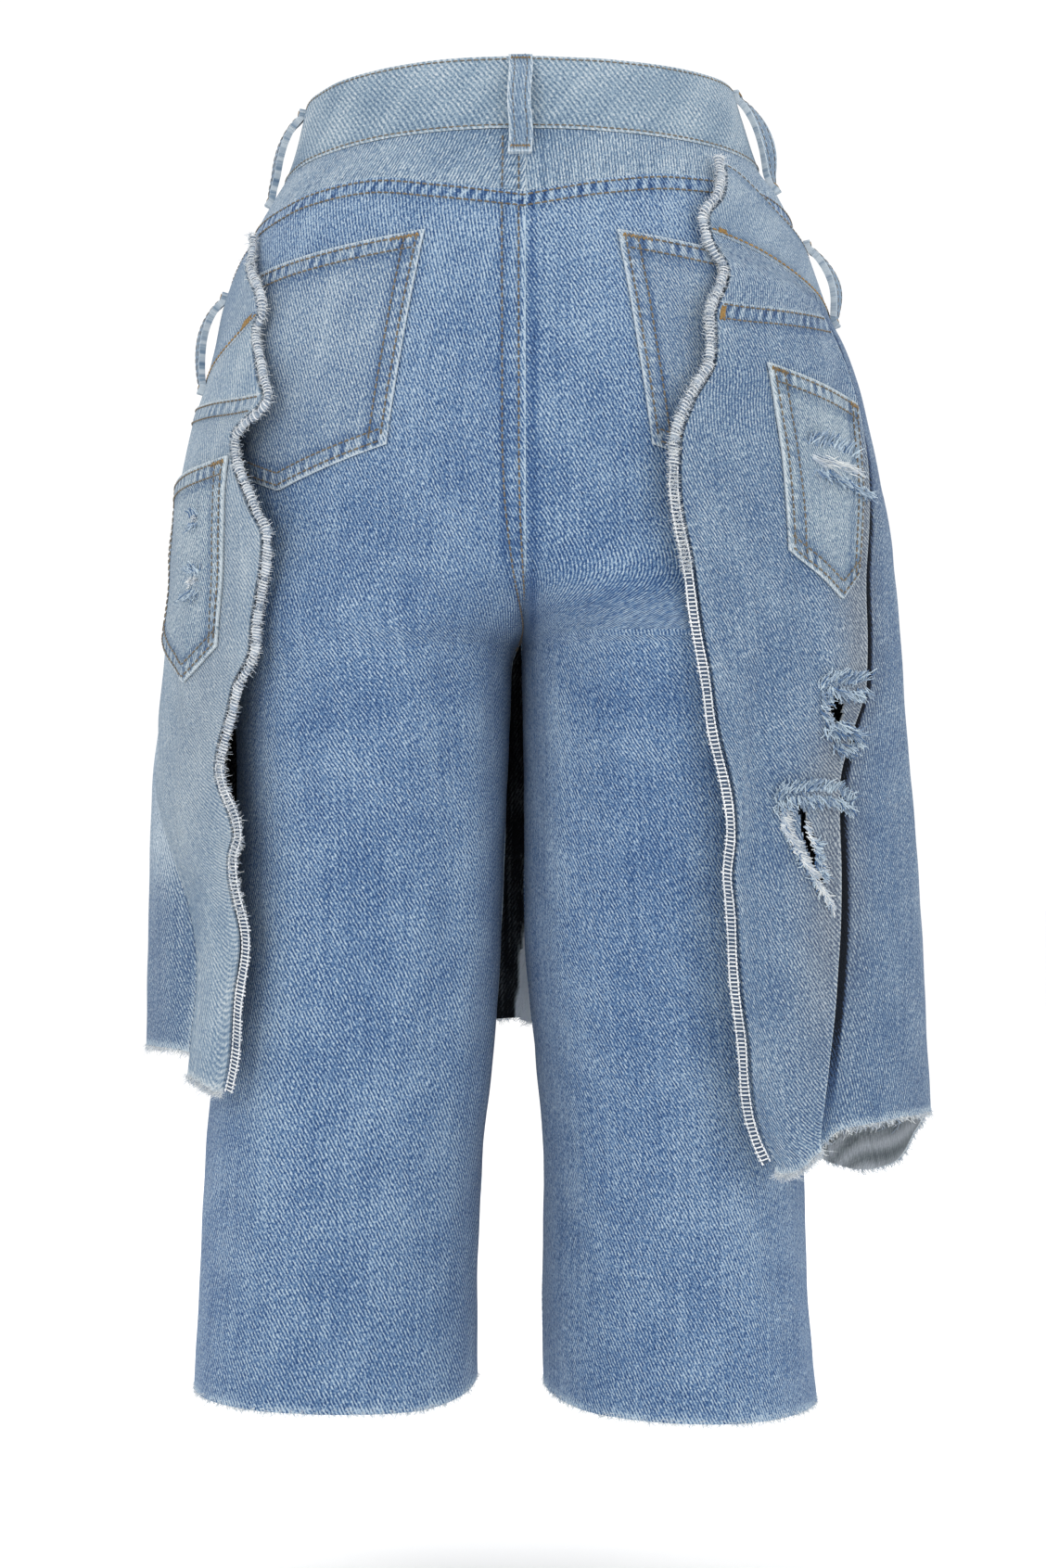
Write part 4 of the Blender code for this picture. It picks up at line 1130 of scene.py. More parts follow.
def over_normal(side, angle, height):
    """Square to the oval form: its slopes by small steps, crossed."""
    across = over_form(side, angle + 0.5, height) - over_form(side, angle - 0.5, height)
    down = over_form(side, angle, height + 2 * MM) - over_form(side, angle, height - 2 * MM)
    return unit(np.cross(across, down)) * -np.asarray(side)[..., None]


def edge_angle(side, height):
    """Where a back panel is cut, in degrees, read from its table."""
    return read(EDGE[side], "angle", height / MM)


def side_angle(side, height):
    """Where back and front panel meet, in degrees, read from its table."""
    return read(SIDE, side_word(side), height / MM)


def back_depth(height):
    """The oval's half depth at the back, in mm, which turns mm round it into degrees."""
    return read(OVER, "back", height / MM)


def second_lift(side, angle, height):
    """The folds, creases and curled edge of the second pair's cloth, in mm."""
    deep, z = back_depth(height), height / MM
    x = np.radians(angle) * MEAN_RADIUS
    reach = np.radians(edge_angle(side, height) - angle) * deep
    wave = 0.55 + 0.45 * np.sin(2 * np.pi * z / WAVE_LENGTH + side)
    curl = EDGE_CURL * wave * np.exp(-(reach / CURL_REACH) ** 2)
    soft = ease((-z - 120) / 60)
    small = creases(SECOND_CREASES[side], x, z) + rumple(x + 90, z - 30 * side)
    return folds(SECOND_FOLDS[side], angle, height) + curl + small * soft


def over_surface(side, angle, height, lift):
    """The second pair's outer face: its form, raised by its own folds and by the lift."""
    raised = (second_lift(side, angle, height) + lift) * MM
    return over_form(side, angle, height) + over_normal(side, angle, height) * raised[..., None]


def panel_inner(side, height):
    """Where a back panel's cloth ends, in degrees: beside its rolled edge."""
    step, deep = 4 * MM, back_depth(height)
    swing = edge_angle(side, height + step) - edge_angle(side, height - step)
    slope = np.radians(swing) * deep / 8
    beside = (ROLL_RADIUS + ROLL_CLEAR[side]) * np.sqrt(1 + slope * slope)
    return edge_angle(side, height) - np.degrees(beside / deep)


def side_gap(height):
    """Half the slit between back and front panel, in degrees."""
    return np.degrees(SIDE_CLEAR / back_depth(height))


def panel_outer(side, height):
    """A back panel's edge at the side, in degrees."""
    return side_angle(side, height) + side_gap(height)


def band_edge(edge, side, angle):
    """The second waistband's edge, in m: its table runs round the front, from side to side."""
    return read(SECOND_BAND, edge, -angle if side == LEFT else 180 + angle) * MM


def second_hem(side, angle):
    """The second pair's hem, in m, read from its table."""
    return read(SECOND_HEM, side_word(side), angle) * MM


FLAP_HEM = (
    ("angle", "low"),
    (14, -498), (23, -501), (28, -507), (33, -513), (38, -517.5), (43, -519),
)


def back_hem(side, angle):
    """The back panels' hem: on the left the flap hangs lower towards its cut edge."""
    return read(FLAP_HEM, "low", angle) * MM if side == LEFT else second_hem(side, angle)


SETTLING_ROUNDS = 10


def settled(side, outer, inner, top, bottom, s, v):
    """A panel's angle and height, where each edge depends on the other, by settling both."""
    height = mixed(-0.1, -0.5, v)
    for _ in range(SETTLING_ROUNDS):
        angle = mixed(outer(side, height), inner(side, height), s)
        height = mixed(top(side, angle), bottom(side, angle), v)
    return angle, height


second_denim = washed_denim("second pair denim", "#324d74", "#647d96", "#b4c1cb")
flap_denim = washed_denim("left flap denim", "#56708c", "#8598a9", "#c2cbd0", contrast=0.75)
# Painted shade and light: the fronts' wrong side, nearly black where it lies between the legs,
# near white on a strip painted as lit.
fronts_inside_painted_shade = washed_denim(
    "wrong side of the fronts in painted shade and light", "#0b0f14", "#8d9494", "#f2f4f4", contrast=0.16,
)
TUCK = {LEFT: 1.0, RIGHT: 3.6}
TUCK_REACH, TUCK_TOP, TUCK_GROWTH = 6.5, -100, 40
FOLD_CLEAR, FOLD_RISE, FOLD_RISE_WIDTH = 1.2, 1.4, 1.6
# The last two give how far the painted shade in the deep fold reaches, in degrees, and how soft
# its edge is.
FOLD_TUCK, FOLD_REACH, FOLD_SLOPE, PAINTED_SHADE_REACH, PAINTED_SHADE_SLOPE = 7.5, 3.0, 1.3, 3.1, 0.4
FOLD_TOP, FOLD_FOOT = -100, -545
FOLD_NEAR = (0, 2, 4, 5.2, 6, 6.8, 7.6, 8.4, 9.2, 10.4, 12.5)


def fold_opening(side, height):
    """How far the deep fold at the right gapes: from under the yoke to above the hem."""
    z = height / MM
    return ease((FOLD_TOP - z) / 50) * ease((z - FOLD_FOOT) / 90) if side == RIGHT else 0 * z


def crevice(side, angle, height, reach, slope):
    """1 along the front panel's edge where the fold swallows it, falling to 0 at its reach
    in degrees, which is longer where the cloth lies more to the side."""
    fold = side_angle(side, height)
    longer = np.minimum(0.62 / np.sin(np.radians(np.maximum(fold, 15))), 1.8)
    return fold_opening(side, height) * ease((reach * longer - fold + angle) / (slope * longer))


def unfaded_part(x, y, z):
    """The left side's lower part, that hung inwards and kept its blue: its soft edge leans
    outwards as it goes down."""
    edge = -161.5 + (z + 422) * 0.117
    return np.maximum(ease((-385 - z) / 50) * ease((edge - x) / 8), ease((y - 5) / 70))


def second_grey(side, place):
    """The cloth beside the fold has lost nearly all its blue."""
    def grey(u, v, points):
        angle, height = place(u, v)
        z = height / MM
        if side == LEFT:
            return 0.3 * bell(z, -300, 120) * bell(angle, 30, 14)
        beside = bell(angle, side_angle(side, height) + 1, 7)
        return 0.8 * beside * ease((z + 560) / 160) * ease((-150 - z) / 60)

    return grey


def second_tone(side, place, front=False):
    """Paler at the raw hem and on the raised folds. The left side has faded but for its
    lower part; the right is paler beside its deep fold and painted nearly black in it as shade."""
    def tone(u, v, points):
        x, y, z = (points[..., axis] / MM for axis in range(3))
        angle, height = place(u, v)
        foot = second_hem(side, angle) if front else back_hem(side, angle)
        shade = 0.45 * ease((5 - z + foot / MM) / 4) + second_lift(side, angle, height) * 0.03
        if side == LEFT:
            faded, blue = (0.3 * ease((70 - y) / 60), -0.2) if front else (-0.02, -0.34)
            return shade + mixed(faded, blue, unfaded_part(x, y, z))
        bleached = 0.08 * bell(angle, side_angle(side, height) + 3, 9) * bell(z, -250, 130)
        if not front:
            return shade + bleached - 0.09
        # Painted shade: the front panel's edge inside the deep fold is painted nearly black.
        dark = crevice(side, angle, height, PAINTED_SHADE_REACH, PAINTED_SHADE_SLOPE)
        return shade + 0.3 * bleached - 1.9 * dark - 0.2

    return tone


def inner_front_painted_shade_and_light(u, v, points):
    """The wrong side is painted dark as shade, but is pale at the torn hem, with its curled
    ridges, and a strip beside the centre is painted pale as if lit."""
    x, z = points[..., 0] / MM, points[..., 2] / MM
    torn = ease((x - 90) / 50) * ease((-490 - z) / 35)
    torn = torn * (1 + 0.3 * np.sin((x * 0.8 - z) / 2.1 + 2 * np.sin(x / 7)))
    # Painted light: the strip beside the centre is painted pale as if lit; all else but the torn
    # hem is painted dark as shade.
    painted_lit_strip = ease((x + 3 - (z + 486) * 0.1) / 1.5) * ease((11 - x) / 3) * ease((-436 - z) / 12)
    return -0.5 + 0.75 * torn + 1.6 * painted_lit_strip


# Rips: angle and height of one end and of the other, and the half width in mm.
RIP_HOLES = {
    RIGHT: ((37.2, -310.5, 36.0, -326, 5.6), (46.8, -364.5, 42.2, -415, 3.8)),
    LEFT: (),
}


def leaf(hole, angle, z, reach):
    """Below 1 inside a leaf-shaped hole between two points: the distance across it, as a
    share of the half width there."""
    a0, z0, a1, z1, half = hole
    scale = math.radians(1) * reach
    run_a, run_z = (a1 - a0) * scale, z1 - z0
    length = math.hypot(run_a, run_z)
    from_a, from_z = (angle - a0) * scale, z - z0
    along = (from_a * run_a + from_z * run_z) / length ** 2
    across = abs(from_a * run_z - from_z * run_a) / length
    width = half * np.sin(np.pi * np.clip(along, 0.001, 0.999)) ** 0.7
    return np.where((along > 0) & (along < 1), across / width, 9)


def yoke_top(side, angle):
    """Just under the second waistband, in m."""
    return band_edge("bottom", side, angle) - SEAM_GAP * MM


def yoke_foot(side, angle):
    """Just above the level seam between yoke and back panel, in m."""
    return SECOND_YOKE_SEAM[side] * MM + SEAM_GAP / 2 * MM + 0 * angle


def back_top(side, angle):
    """Just under that seam, in m."""
    return SECOND_YOKE_SEAM[side] * MM - SEAM_GAP / 2 * MM + 0 * angle


def front_outer(side, height):
    """A front panel's edge at the side, in degrees, drawn back where the fold gapes."""
    wide = FOLD_CLEAR * fold_opening(side, height)
    return side_angle(side, height) - side_gap(height) - np.degrees(wide / 125)


def front_inner(side, height):
    """A front panel's edge at the centre, in degrees: the left one laps over."""
    return -91.2 if side == LEFT else -90 + np.degrees(SEAM_GAP / 200)


second_yokes, second_backs, second_fronts = {}, {}, {}
for side in (LEFT, RIGHT):
    word = side_word(side)
    finish = (flap_denim if side == LEFT else second_denim, denim_inside, raw_edge)

    def yoke_surface(u, v, side=side):
        """From the side (s = 0) to the cut edge, under the second waistband."""
        s = u if side == LEFT else 1 - u
        angle, height = settled(side, panel_outer, panel_inner, yoke_top, yoke_foot, s, v)
        return over_surface(side, angle, height, 0)

    def back_place(u, v, side=side):
        """Angle and height on the back panel, from the side (s = 0) to the cut edge."""
        s = u if side == LEFT else 1 - u
        return settled(side, panel_outer, panel_inner, back_top, back_hem, s, v)

    def back_surface(u, v, side=side):
        """The panel, raised at its yoke seam and beside the deep fold."""
        angle, height = back_place(u, v, side)
        seam = SECOND_YOKE_SEAM[side] - height / MM
        beside = bell(angle, panel_outer(side, height), FOLD_RISE_WIDTH)
        proud = FOLD_RISE * fold_opening(side, height) * beside
        return over_surface(side, angle, height, fell(seam) + proud)

    def whole(u, v, side=side):
        """True where the cloth isn't worn through."""
        angle, height = back_place(u, v, side)
        kept = np.ones(u.shape, bool)
        for hole in RIP_HOLES[side]:
            kept &= leaf(hole, angle, height / MM, 190) >= 1
        return kept

    second_yokes[side] = cloth(
        f"second_yoke_{word}", yoke_surface, (85 if side == LEFT else 98, 26), 2.6, DENIM,
        finish, seams={"bottom": (0.2, 0.1)}, near=(0, 1.2, 2.8, 5),
        rests_on="second_waistband",
    )
    second_backs[side] = cloth(
        f"second_back_{word}", back_surface, (96, 345) if side == LEFT else (108, 440), 2.4,
        DENIM, finish,
        seams={"top": (1.0, 0.35), "right": (0, 0.25 if side == RIGHT else 0)},
        tone=second_tone(side, back_place), grey=second_grey(side, back_place), keep=whole,
        rests_on=f"second_yoke_{word}", raw=("bottom",),
    )

    def front_place(u, v, side=side):
        """Angle and height on the front panel, from the side (s = 0) to the centre."""
        s = 1 - u if side == LEFT else u
        return settled(side, front_outer, front_inner, yoke_top, second_hem, s, v)

    def front_surface(u, v, side=side):
        """The panel, tucked in behind the back panel's edge, and deeper where the fold is."""
        angle, height = front_place(u, v, side)
        away = (side_angle(side, height) - angle) / TUCK_REACH
        start = np.clip((TUCK_TOP - height / MM) / TUCK_GROWTH, 0, 1)
        tuck = TUCK[side] * start * np.exp(-np.maximum(away, 0) ** 2)
        tuck = tuck + FOLD_TUCK * crevice(side, angle, height, FOLD_REACH, FOLD_SLOPE)
        return over_surface(side, angle, height, -tuck)

    second_fronts[side] = cloth(
        f"second_front_{word}", front_surface, (300, 360 if side == LEFT else 410), 3.3,
        DENIM, (second_denim, fronts_inside_painted_shade, raw_edge),
        seams={"top": (0.3, 0.1), "left" if side == LEFT else "right": (0.3, 0.05)},
        tone=second_tone(side, front_place, True), inner_tone=inner_front_painted_shade_and_light,
        grey=second_grey(side, front_place), near=FOLD_NEAR, rests_on="second_waistband",
        raw=("bottom",),
    )

rows = []
for side in (LEFT, RIGHT):
    rows += [inset(second_backs[side], "top", at, 0.02, 0.98) for at in (1.8, 9.2)]
rows += [inset(second_fronts[RIGHT], "right", at, 0.01, 0.4) for at in (2.4, 8.6)]
sew("stitching_second_yokes", rows, washed_thread)


# ---------------------------------------------------------------- second waistband
# The second pair's waistband still runs from one cut edge to the other round the front,
# with its gold topstitching along the lower seam and a bartack at each end.
SECOND_PROUD, SECOND_WALL = 0.5, 2.2
SECOND_LENGTH, SECOND_DEPTH = 620, 50


def second_band_surface(u, v):
    """The strip between the two edges of its table, from cut edge to cut edge; where it
    ends depends on its height, so both are settled in turn."""
    height = -80 * MM + 0 * u
    for _ in range(8):
        start = -panel_inner(LEFT, height)
        stop = 180 + panel_inner(RIGHT, height)
        place = mixed(stop, start, u)
        top = read(SECOND_BAND, "top", place) * MM
        bottom = read(SECOND_BAND, "bottom", place) * MM
        height = mixed(top, bottom, v)
    swell = SECOND_PROUD - 0.4 + 0.4 * (1 - (2 * v - 1) ** 6)
    on_left = over_surface(LEFT, -place, height, swell)
    on_right = over_surface(RIGHT, place - 180, height, swell)
    return np.where((place < 90)[..., None], on_left, on_right)


def second_band_tone(u, v, points):
    """Uneven along the strip, with pale worn edges and a line of painted shadow inside each."""
    x = u * SECOND_LENGTH
    spots = 0.08 * np.sin(x / 15 + 2 * np.sin(x / 37)) * np.sin(v * 5 + x / 21)
    # Painted shadow: the negative bells draw a dark line just inside each pale edge.
    worn = 0.5 * bell(v, 0, 0.035) - 0.25 * bell(v, 0.09, 0.04)
    return spots + worn + 0.3 * bell(v, 1, 0.03) - 0.2 * bell(v, 0.93, 0.04)


second_band_denim = washed_denim(
    "second waistband denim", "#4a6584", "#758a9f", "#b3bfc8", lean=-50.0, contrast=0.8,
)
second_band = cloth(
    "second_waistband", second_band_surface, (SECOND_LENGTH, SECOND_DEPTH), 3.0, SECOND_WALL,
    (second_band_denim, second_band_denim, raw_edge),
    tone=second_band_tone, near=(0, 0.9, 2, 3.6, 6),
)
sew("stitching_second_waistband_top", [inset(second_band, "top", 1.8)], washed_thread, thick=0.3)
sew("stitching_second_waistband_foot", [inset(second_band, "bottom", 2.0)], gold_thread)
corners = [bartack(second_band_surface, u, 0.94, 0.009, 0.07) for u in (0.012, 0.988)]
corners.append(bartack(second_backs[RIGHT]["surface"], 0.03, 0.014, 0.03, 0.018))
sew("bartacks_second_waistband", corners, gold_thread, length=1.9, gap=0.1, thick=0.26)


# ---------------------------------------------------------------- second pockets
# The second pair's back pockets now lie round the sides, narrower to the eye, with the
# same two rows of sewing and worn through in the middle.
SECOND_POCKET = {
    LEFT: {
        "outer_top": (-3, -199), "inner_top": (33.7, -187), "inner_bottom": (34.6, -286),
        "point": (25, -304.5), "outer_bottom": (3, -279),
    },
    RIGHT: {
        "outer_top": (18, -157.5), "inner_top": (45.5, -140.5), "inner_bottom": (45.8, -237),
        "point": (33.8, -261.5), "outer_bottom": (28.4, -249),
    },
}
second_pocket_denim = washed_denim("second pocket denim", "#465f80", "#7c909f", "#c0cad0")
rows, bartacks = [], []
for side, wide, tall in ((LEFT, 88, 98), (RIGHT, 68, 98)):
    def second_pocket_surface(u, v, side=side, wide=wide, tall=tall):
        """The outline's place on the second pair, raised by the patch."""
        s = u if side == LEFT else 1 - u
        angle, z = five_sided(SECOND_POCKET[side], s, v)
        lift = PATCH_LIFT - PATCH_SINK + pocket_swell(s, v, wide, tall)
        return over_surface(side, angle, z * MM, lift)

    pocket = cloth(
        f"second_pocket_{side_word(side)}", second_pocket_surface, (wide, tall), 2.2,
        POCKET_WALL, (second_pocket_denim, denim_inside, raw_edge),
        seams=POCKET_SEAMS, tone=pocket_tone, near=POCKET_NEAR,
        rests_on=f"second_back_{side_word(side)}",
    )
    rows += pocket_rows(pocket)
    bartacks += [bartack(second_pocket_surface, u, 0.025, 0.12, 0.025) for u in (0.08, 0.92)]
sew("stitching_second_pockets", rows, washed_thread)
sew("bartacks_second_pockets", bartacks, gold_thread, length=1.9, gap=0.1, thick=0.34)


# ---------------------------------------------------------------- belt loops
# Strips folded in three, sewn down both sides and locked to the band with gold bartacks at
# both ends; they stand off in the middle, where the belt goes.
LOOP_WALL, LOOP_WIDTH, LOOP_LIFT, LOOP_END, LOOP_TURNED = 3.5, 12.4, 3.2, 0.08, 8
BACK_LOOP_OFF = 0.4
# name, where on its form, top, bottom, how far it stands off, its twist in degrees
LOOPS = (
    ("belt_loop_back", (RIGHT, BACK, 1), 19.5, -33, 8, 8),
    ("belt_loop_side_left", (LEFT, BACK, 0.03), 4.5, -47, 7.8, -10),
    ("belt_loop_side_right", (RIGHT, BACK, 0.06), 14, -40, 8.6, 30),
    ("belt_loop_front_left", (LEFT, FRONT, 0.75), -1, -52, 10, 6),
    ("belt_loop_front_right", (RIGHT, FRONT, 0.75), 0, -52, 10, -9),
    ("second_loop_left", (LEFT, 3), -94, -148, 7.4, -12),
    ("second_loop_right", (RIGHT, 3), -66, -112, 8.2, 18),
    ("second_loop_front_left", (LEFT, -70), -126, -172, 9.6, -7),
    ("second_loop_front_right", (RIGHT, -70), -120, -166, 9.6, 8),
)
loop_denim = washed_denim(
    "belt loop denim", "#46607f", "#7c91a5", "#c3cdd4", lean=-12.0, contrast=0.6,
)


def loop_tone(u, v, points):
    """Pale on both edges and at the foot, darker beside the stitches and in the middle."""
    edges = bell(u, 0, 0.09) + bell(u, 1, 0.09)
    hollow = bell(u, 0.2, 0.07) + bell(u, 0.8, 0.07) + bell(u, 0.5, 0.2)
    return 0.42 * edges - 0.16 * hollow + 0.35 * bell(v, 1, 0.03)


def loop_surface(centre, out_of, top, bottom, gap, twist):
    """The strip: flat on the band at both ends, and standing off by the gap between, where
    it may twist a little."""
    def surface(u, v):
        height = mixed(top, bottom, v) * MM
        square = out_of(height)
        along = np.stack((-square[..., 1], square[..., 0], 0 * square[..., 0]), -1)
        turn = np.radians(twist) * np.sin(np.pi * np.asarray(v))[..., None]
        out = square * np.cos(turn) - along * np.sin(turn)
        right = along * np.cos(turn) + square * np.sin(turn)
        free = np.clip((v - LOOP_END) / (1 - 2 * LOOP_END), 0, 1)
        lift = LOOP_LIFT + 0.9 * gap * np.sin(np.pi * free ** 0.85) ** 0.8
        round_edge = 0.35 * ((2 * u - 1) ** 4)
        sway = 0.5 * np.sin(v * 9 + top)
        spread = ((u - 0.5) * LOOP_WIDTH + sway) * MM
        risen = square * (lift * MM)[..., None] - out * (round_edge * MM)[..., None]
        return centre(height) + right * spread[..., None] + risen

    return surface


rows, bartacks = [], []
for name, spot, top, bottom, gap, twist in LOOPS:
    on_base = name.startswith("belt")
    form = partial(base_form if on_base else over_form, *spot)
    normal = partial(base_normal if on_base else over_normal, *spot)
    proud = BAND_PROUD if on_base else SECOND_PROUD
    at_back = name == "belt_loop_back"

    def centre(height, form=form, normal=normal, proud=proud, at_back=at_back):
        """The loop's middle line on its band; the back one lies beside the centre."""
        place = form(height) + normal(height) * proud * MM
        if at_back:
            place[..., 0] = BACK_LOOP_OFF * MM
        return place

    def out_of(height, normal=normal, at_back=at_back):
        """The level way out of the band, straight back for the loop at the back."""
        return unit(normal(height) * ((0, 1, 0) if at_back else (1, 1, 0)))

    surface = loop_surface(centre, out_of, top, bottom, gap, twist)
    loop = cloth(
        name, surface, (LOOP_WIDTH, top - bottom + LOOP_TURNED), 1.1, LOOP_WALL,
        (loop_denim, loop_denim, raw_edge), tone=loop_tone, near=(0, 0.6, 1.3),
        rests_on="waistband" if on_base else "second_waistband", allowance=4,
    )
    rows += [inset(loop, edge, 3.0, 0.02, 0.98) for edge in ("left", "right")]
    bartacks += [bartack(surface, 0.5, v, 0.8, 0.028) for v in (0.035, 0.94)]
sew("stitching_belt_loops", rows, washed_thread, thick=0.2)
sew("bartacks_belt_loops", bartacks, gold_thread, length=1.9, gap=0.1, thick=0.3)


# ---------------------------------------------------------------- overlocked edges
# The cut edges of the second pair are stretched and overlocked: two chains of pale thread
# with loops laced across between them, which roll the denim into a cord near the top.
overlock_thread = sewing_thread("overlock thread", "#b4bcc3", "#fafafa")
rolled_denim = washed_denim("rolled denim edge", "#3a4a60", "#8593a3", "#dbe0e3")
ROPE_END = {LEFT: (0.55, 0.25), RIGHT: (0.3, 0.1)}
FLAT_TURN, ROPE_TURN, CORE_CORNERS, LACE_STEPS = 2.2, 1.75, 10, 12


def edge_line(side):
    """The middle of the rolled edge, with its outward, sideways and forward directions."""
    rows = EDGE[side][1:]
    heights = np.linspace(rows[0][0], rows[-1][0], 1400) * MM
    angle = edge_angle(side, heights)
    up = over_normal(side, angle, heights)
    centre = over_surface(side, angle, heights, -DENIM / 2)
    ahead = unit(np.gradient(centre, axis=0))
    return centre, up, unit(np.cross(ahead, up)), ahead


def cord(name, centre, aside, up, wide, high, around, finish):
    """A closed oval tube along a line."""
    turn = np.linspace(0, 2 * np.pi, around + 1)[:-1]
    rings = (
        centre[:, None] + aside[:, None] * (np.cos(turn)[:, None] * wide[:, None, None])
        + up[:, None] * (np.sin(turn)[:, None] * high[:, None, None])
    )
    return solid(name, rings, tube_faces(1, len(centre), around), finish)


for side in (LEFT, RIGHT):
    word = side_word(side)
    centre, up, aside, ahead = edge_line(side)
    way = run(centre, 0)
    down = way / way[-1]
    rope_end, rope_fade = ROPE_END[side]
    rope = 1 - ease((down - rope_end) / rope_fade)
    knots = np.sin(way / 2.3 + 3 * np.sin(way / 7))
    knots = (knots + 0.6 * np.sin(way / 0.9 + 2 * np.sin(way / 3))) * rope
    wide = mixed(2.5, 2.1, rope) * MM * (1 + 0.05 * np.sin(way / 5.1) + 0.09 * knots)
    high = mixed(0.95, 1.9, rope) * MM * (1 + 0.12 * knots)
    sway = 0.35 * MM * np.sin(way / 4.3 + 2 * np.sin(way / 11)) * rope
    centre = centre + aside * sway[:, None]
    taper = np.sqrt(np.clip(np.minimum(down, 1 - down) / 0.004, 0.05, 1))
    core = cord(
        f"overlock_core_{word}", centre[::2], aside[::2], up[::2], (wide * taper)[::2] * 0.95,
        (high * taper)[::2] * 0.88, CORE_CORNERS, rolled_denim,
    )
    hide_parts(f"overlock_edge_{word}")
    shade = core.data.attributes.new("wash_and_painted_light", "FLOAT_COLOR", "POINT")
    tint = np.zeros((len(rope[::2]), CORE_CORNERS, 4))
    tint[..., 0] = (0.36 + 0.44 * rope[::2] + 0.2 * knots[::2])[:, None]
    shade.data.foreach_set("color", tint.astype(np.float32).ravel())
    pace = 1 / mixed(FLAT_TURN, ROPE_TURN, rope)
    turns = np.cumsum(pace) * (way[-1] / len(way))
    steps = int(turns[-1] * LACE_STEPS)
    count = np.linspace(0.2, turns[-1] - 0.2, steps)
    at = np.interp(count, turns, way)
    phase = 2 * np.pi * count
    uneven = 1 + 0.1 * np.sin(at * 1.3) + 0.09 * np.sin(at / 2.9) + 0.12 * np.sin(at * 0.77)
    lace_wide = np.interp(at, way, wide) * uneven
    lace_high = np.interp(at, way, high) * uneven
    middle = along_path(centre, way, at)
    lace_up, lace_aside = along_path(up, way, at), along_path(aside, way, at)
    lace = (
        middle + lace_aside * (np.cos(phase) * lace_wide)[:, None]
        + lace_up * (np.sin(phase) * lace_high)[:, None]
    )
    round_it = unit(lace - middle)
    forward = unit(np.gradient(lace, axis=0))
    cord(
        f"overlock_lace_{word}", lace, unit(np.cross(forward, round_it)), round_it,
        np.full(steps, 0.42 * MM), np.full(steps, 0.3 * MM), THREAD_CORNERS,
        overlock_thread,
    )
    chains = []
    flat = rope < 0.6
    for edge in (-1, 1):
        shift = centre + aside * (wide * edge * 0.85)[:, None] + up * (high * 0.7)[:, None]
        chains.append(stitch_row(shift[flat], up[flat], length=2.0, gap=0.2, thick=0.42))
    places = np.concatenate(chains)
    faces = tube_faces(len(places), STITCH_RINGS, THREAD_CORNERS)
    solid(f"overlock_chains_{word}", places, faces, overlock_thread)


# ---------------------------------------------------------------- frayed edges and rips
# Where the denim is cut raw or worn through, its blue warp and white weft come loose: curled
# ends along hems and cut edges, tufts beside each rip, and weft threads across the holes.
def loose_cotton(name, dark, pale):
    """Loose cotton yarn, some of it dyed: each strand takes its own shade."""
    material, tree = new_material(name)
    shade = node(tree, "Attribute", attribute_name="shade", take=2)
    yarn = node(
        tree, "Mix", {0: shade, 6: colour(dark), 7: colour(pale)}, 2, data_type="RGBA",
    )
    return finished(material, yarn, 0.9, sheen=0.1)


pale_fray = loose_cotton("loose white weft", "#93a4b8", "#eceeec")
blue_fray = loose_cotton("loose blue warp", "#2f5987", "#cddde6")
chance = np.random.default_rng(11)
STRAND_RINGS = 5


def strands(name, sets, curl, thick, finish, lean=0.25):
    """Loose yarn ends: each starts along its way, bends by a random curl and tapers.

    A set holds the ends' roots, ways, outward directions and lengths."""
    roots, ways, outs, lengths = [np.concatenate(part) for part in zip(*sets)]
    count, rings = len(roots), STRAND_RINGS
    share = np.linspace(0, 1, rings)
    aside = unit(np.cross(ways, outs))
    bend = chance.normal(0, curl, (count, 1)) * share ** 2
    bend = bend + chance.normal(0, curl / 4, (count, rings)) * share
    lift = np.abs(chance.normal(lean, lean, (count, 1))) * share ** 1.5
    size = (lengths * MM)[:, None]
    centres = (
        roots[:, None] + ways[:, None] * (size * share)[..., None]
        + aside[:, None] * (size * bend)[..., None] + outs[:, None] * (size * lift)[..., None]
    )
    ahead = unit(np.gradient(centres, axis=1))
    sideways = unit(np.cross(ahead, outs[:, None] + 0.01))
    upward = unit(np.cross(sideways, ahead))
    girth = np.broadcast_to((1 - 0.55 * share) * thick * MM, (count, rings))
    faces = tube_faces(count, rings, THREAD_CORNERS)
    made = solid(name, tubes(centres, sideways, upward, girth, girth), faces, finish)
    shade = made.data.attributes.new("shade", "FLOAT", "POINT")
    tint = np.repeat(chance.uniform(0, 1, count), rings * THREAD_CORNERS)
    shade.data.foreach_set("value", tint.astype(np.float32))


def fray_along(surface, count, lengths):
    """A set of ends along a panel's foot, hanging down and a little to either side."""
    u = np.sort(chance.uniform(0, 1, count))
    v = 1 - chance.uniform(0, 0.006, count)
    roots, outs = surface(u, v), facing(surface, u, v)
    ways = unit(np.array((0.0, 0.0, -1.0)) + chance.normal(0, 0.35, (count, 3)))
    ways = unit(ways - outs * (ways * outs).sum(-1, keepdims=True))
    return roots - outs * DENIM / 2 * MM, ways, outs, chance.uniform(*lengths, count)


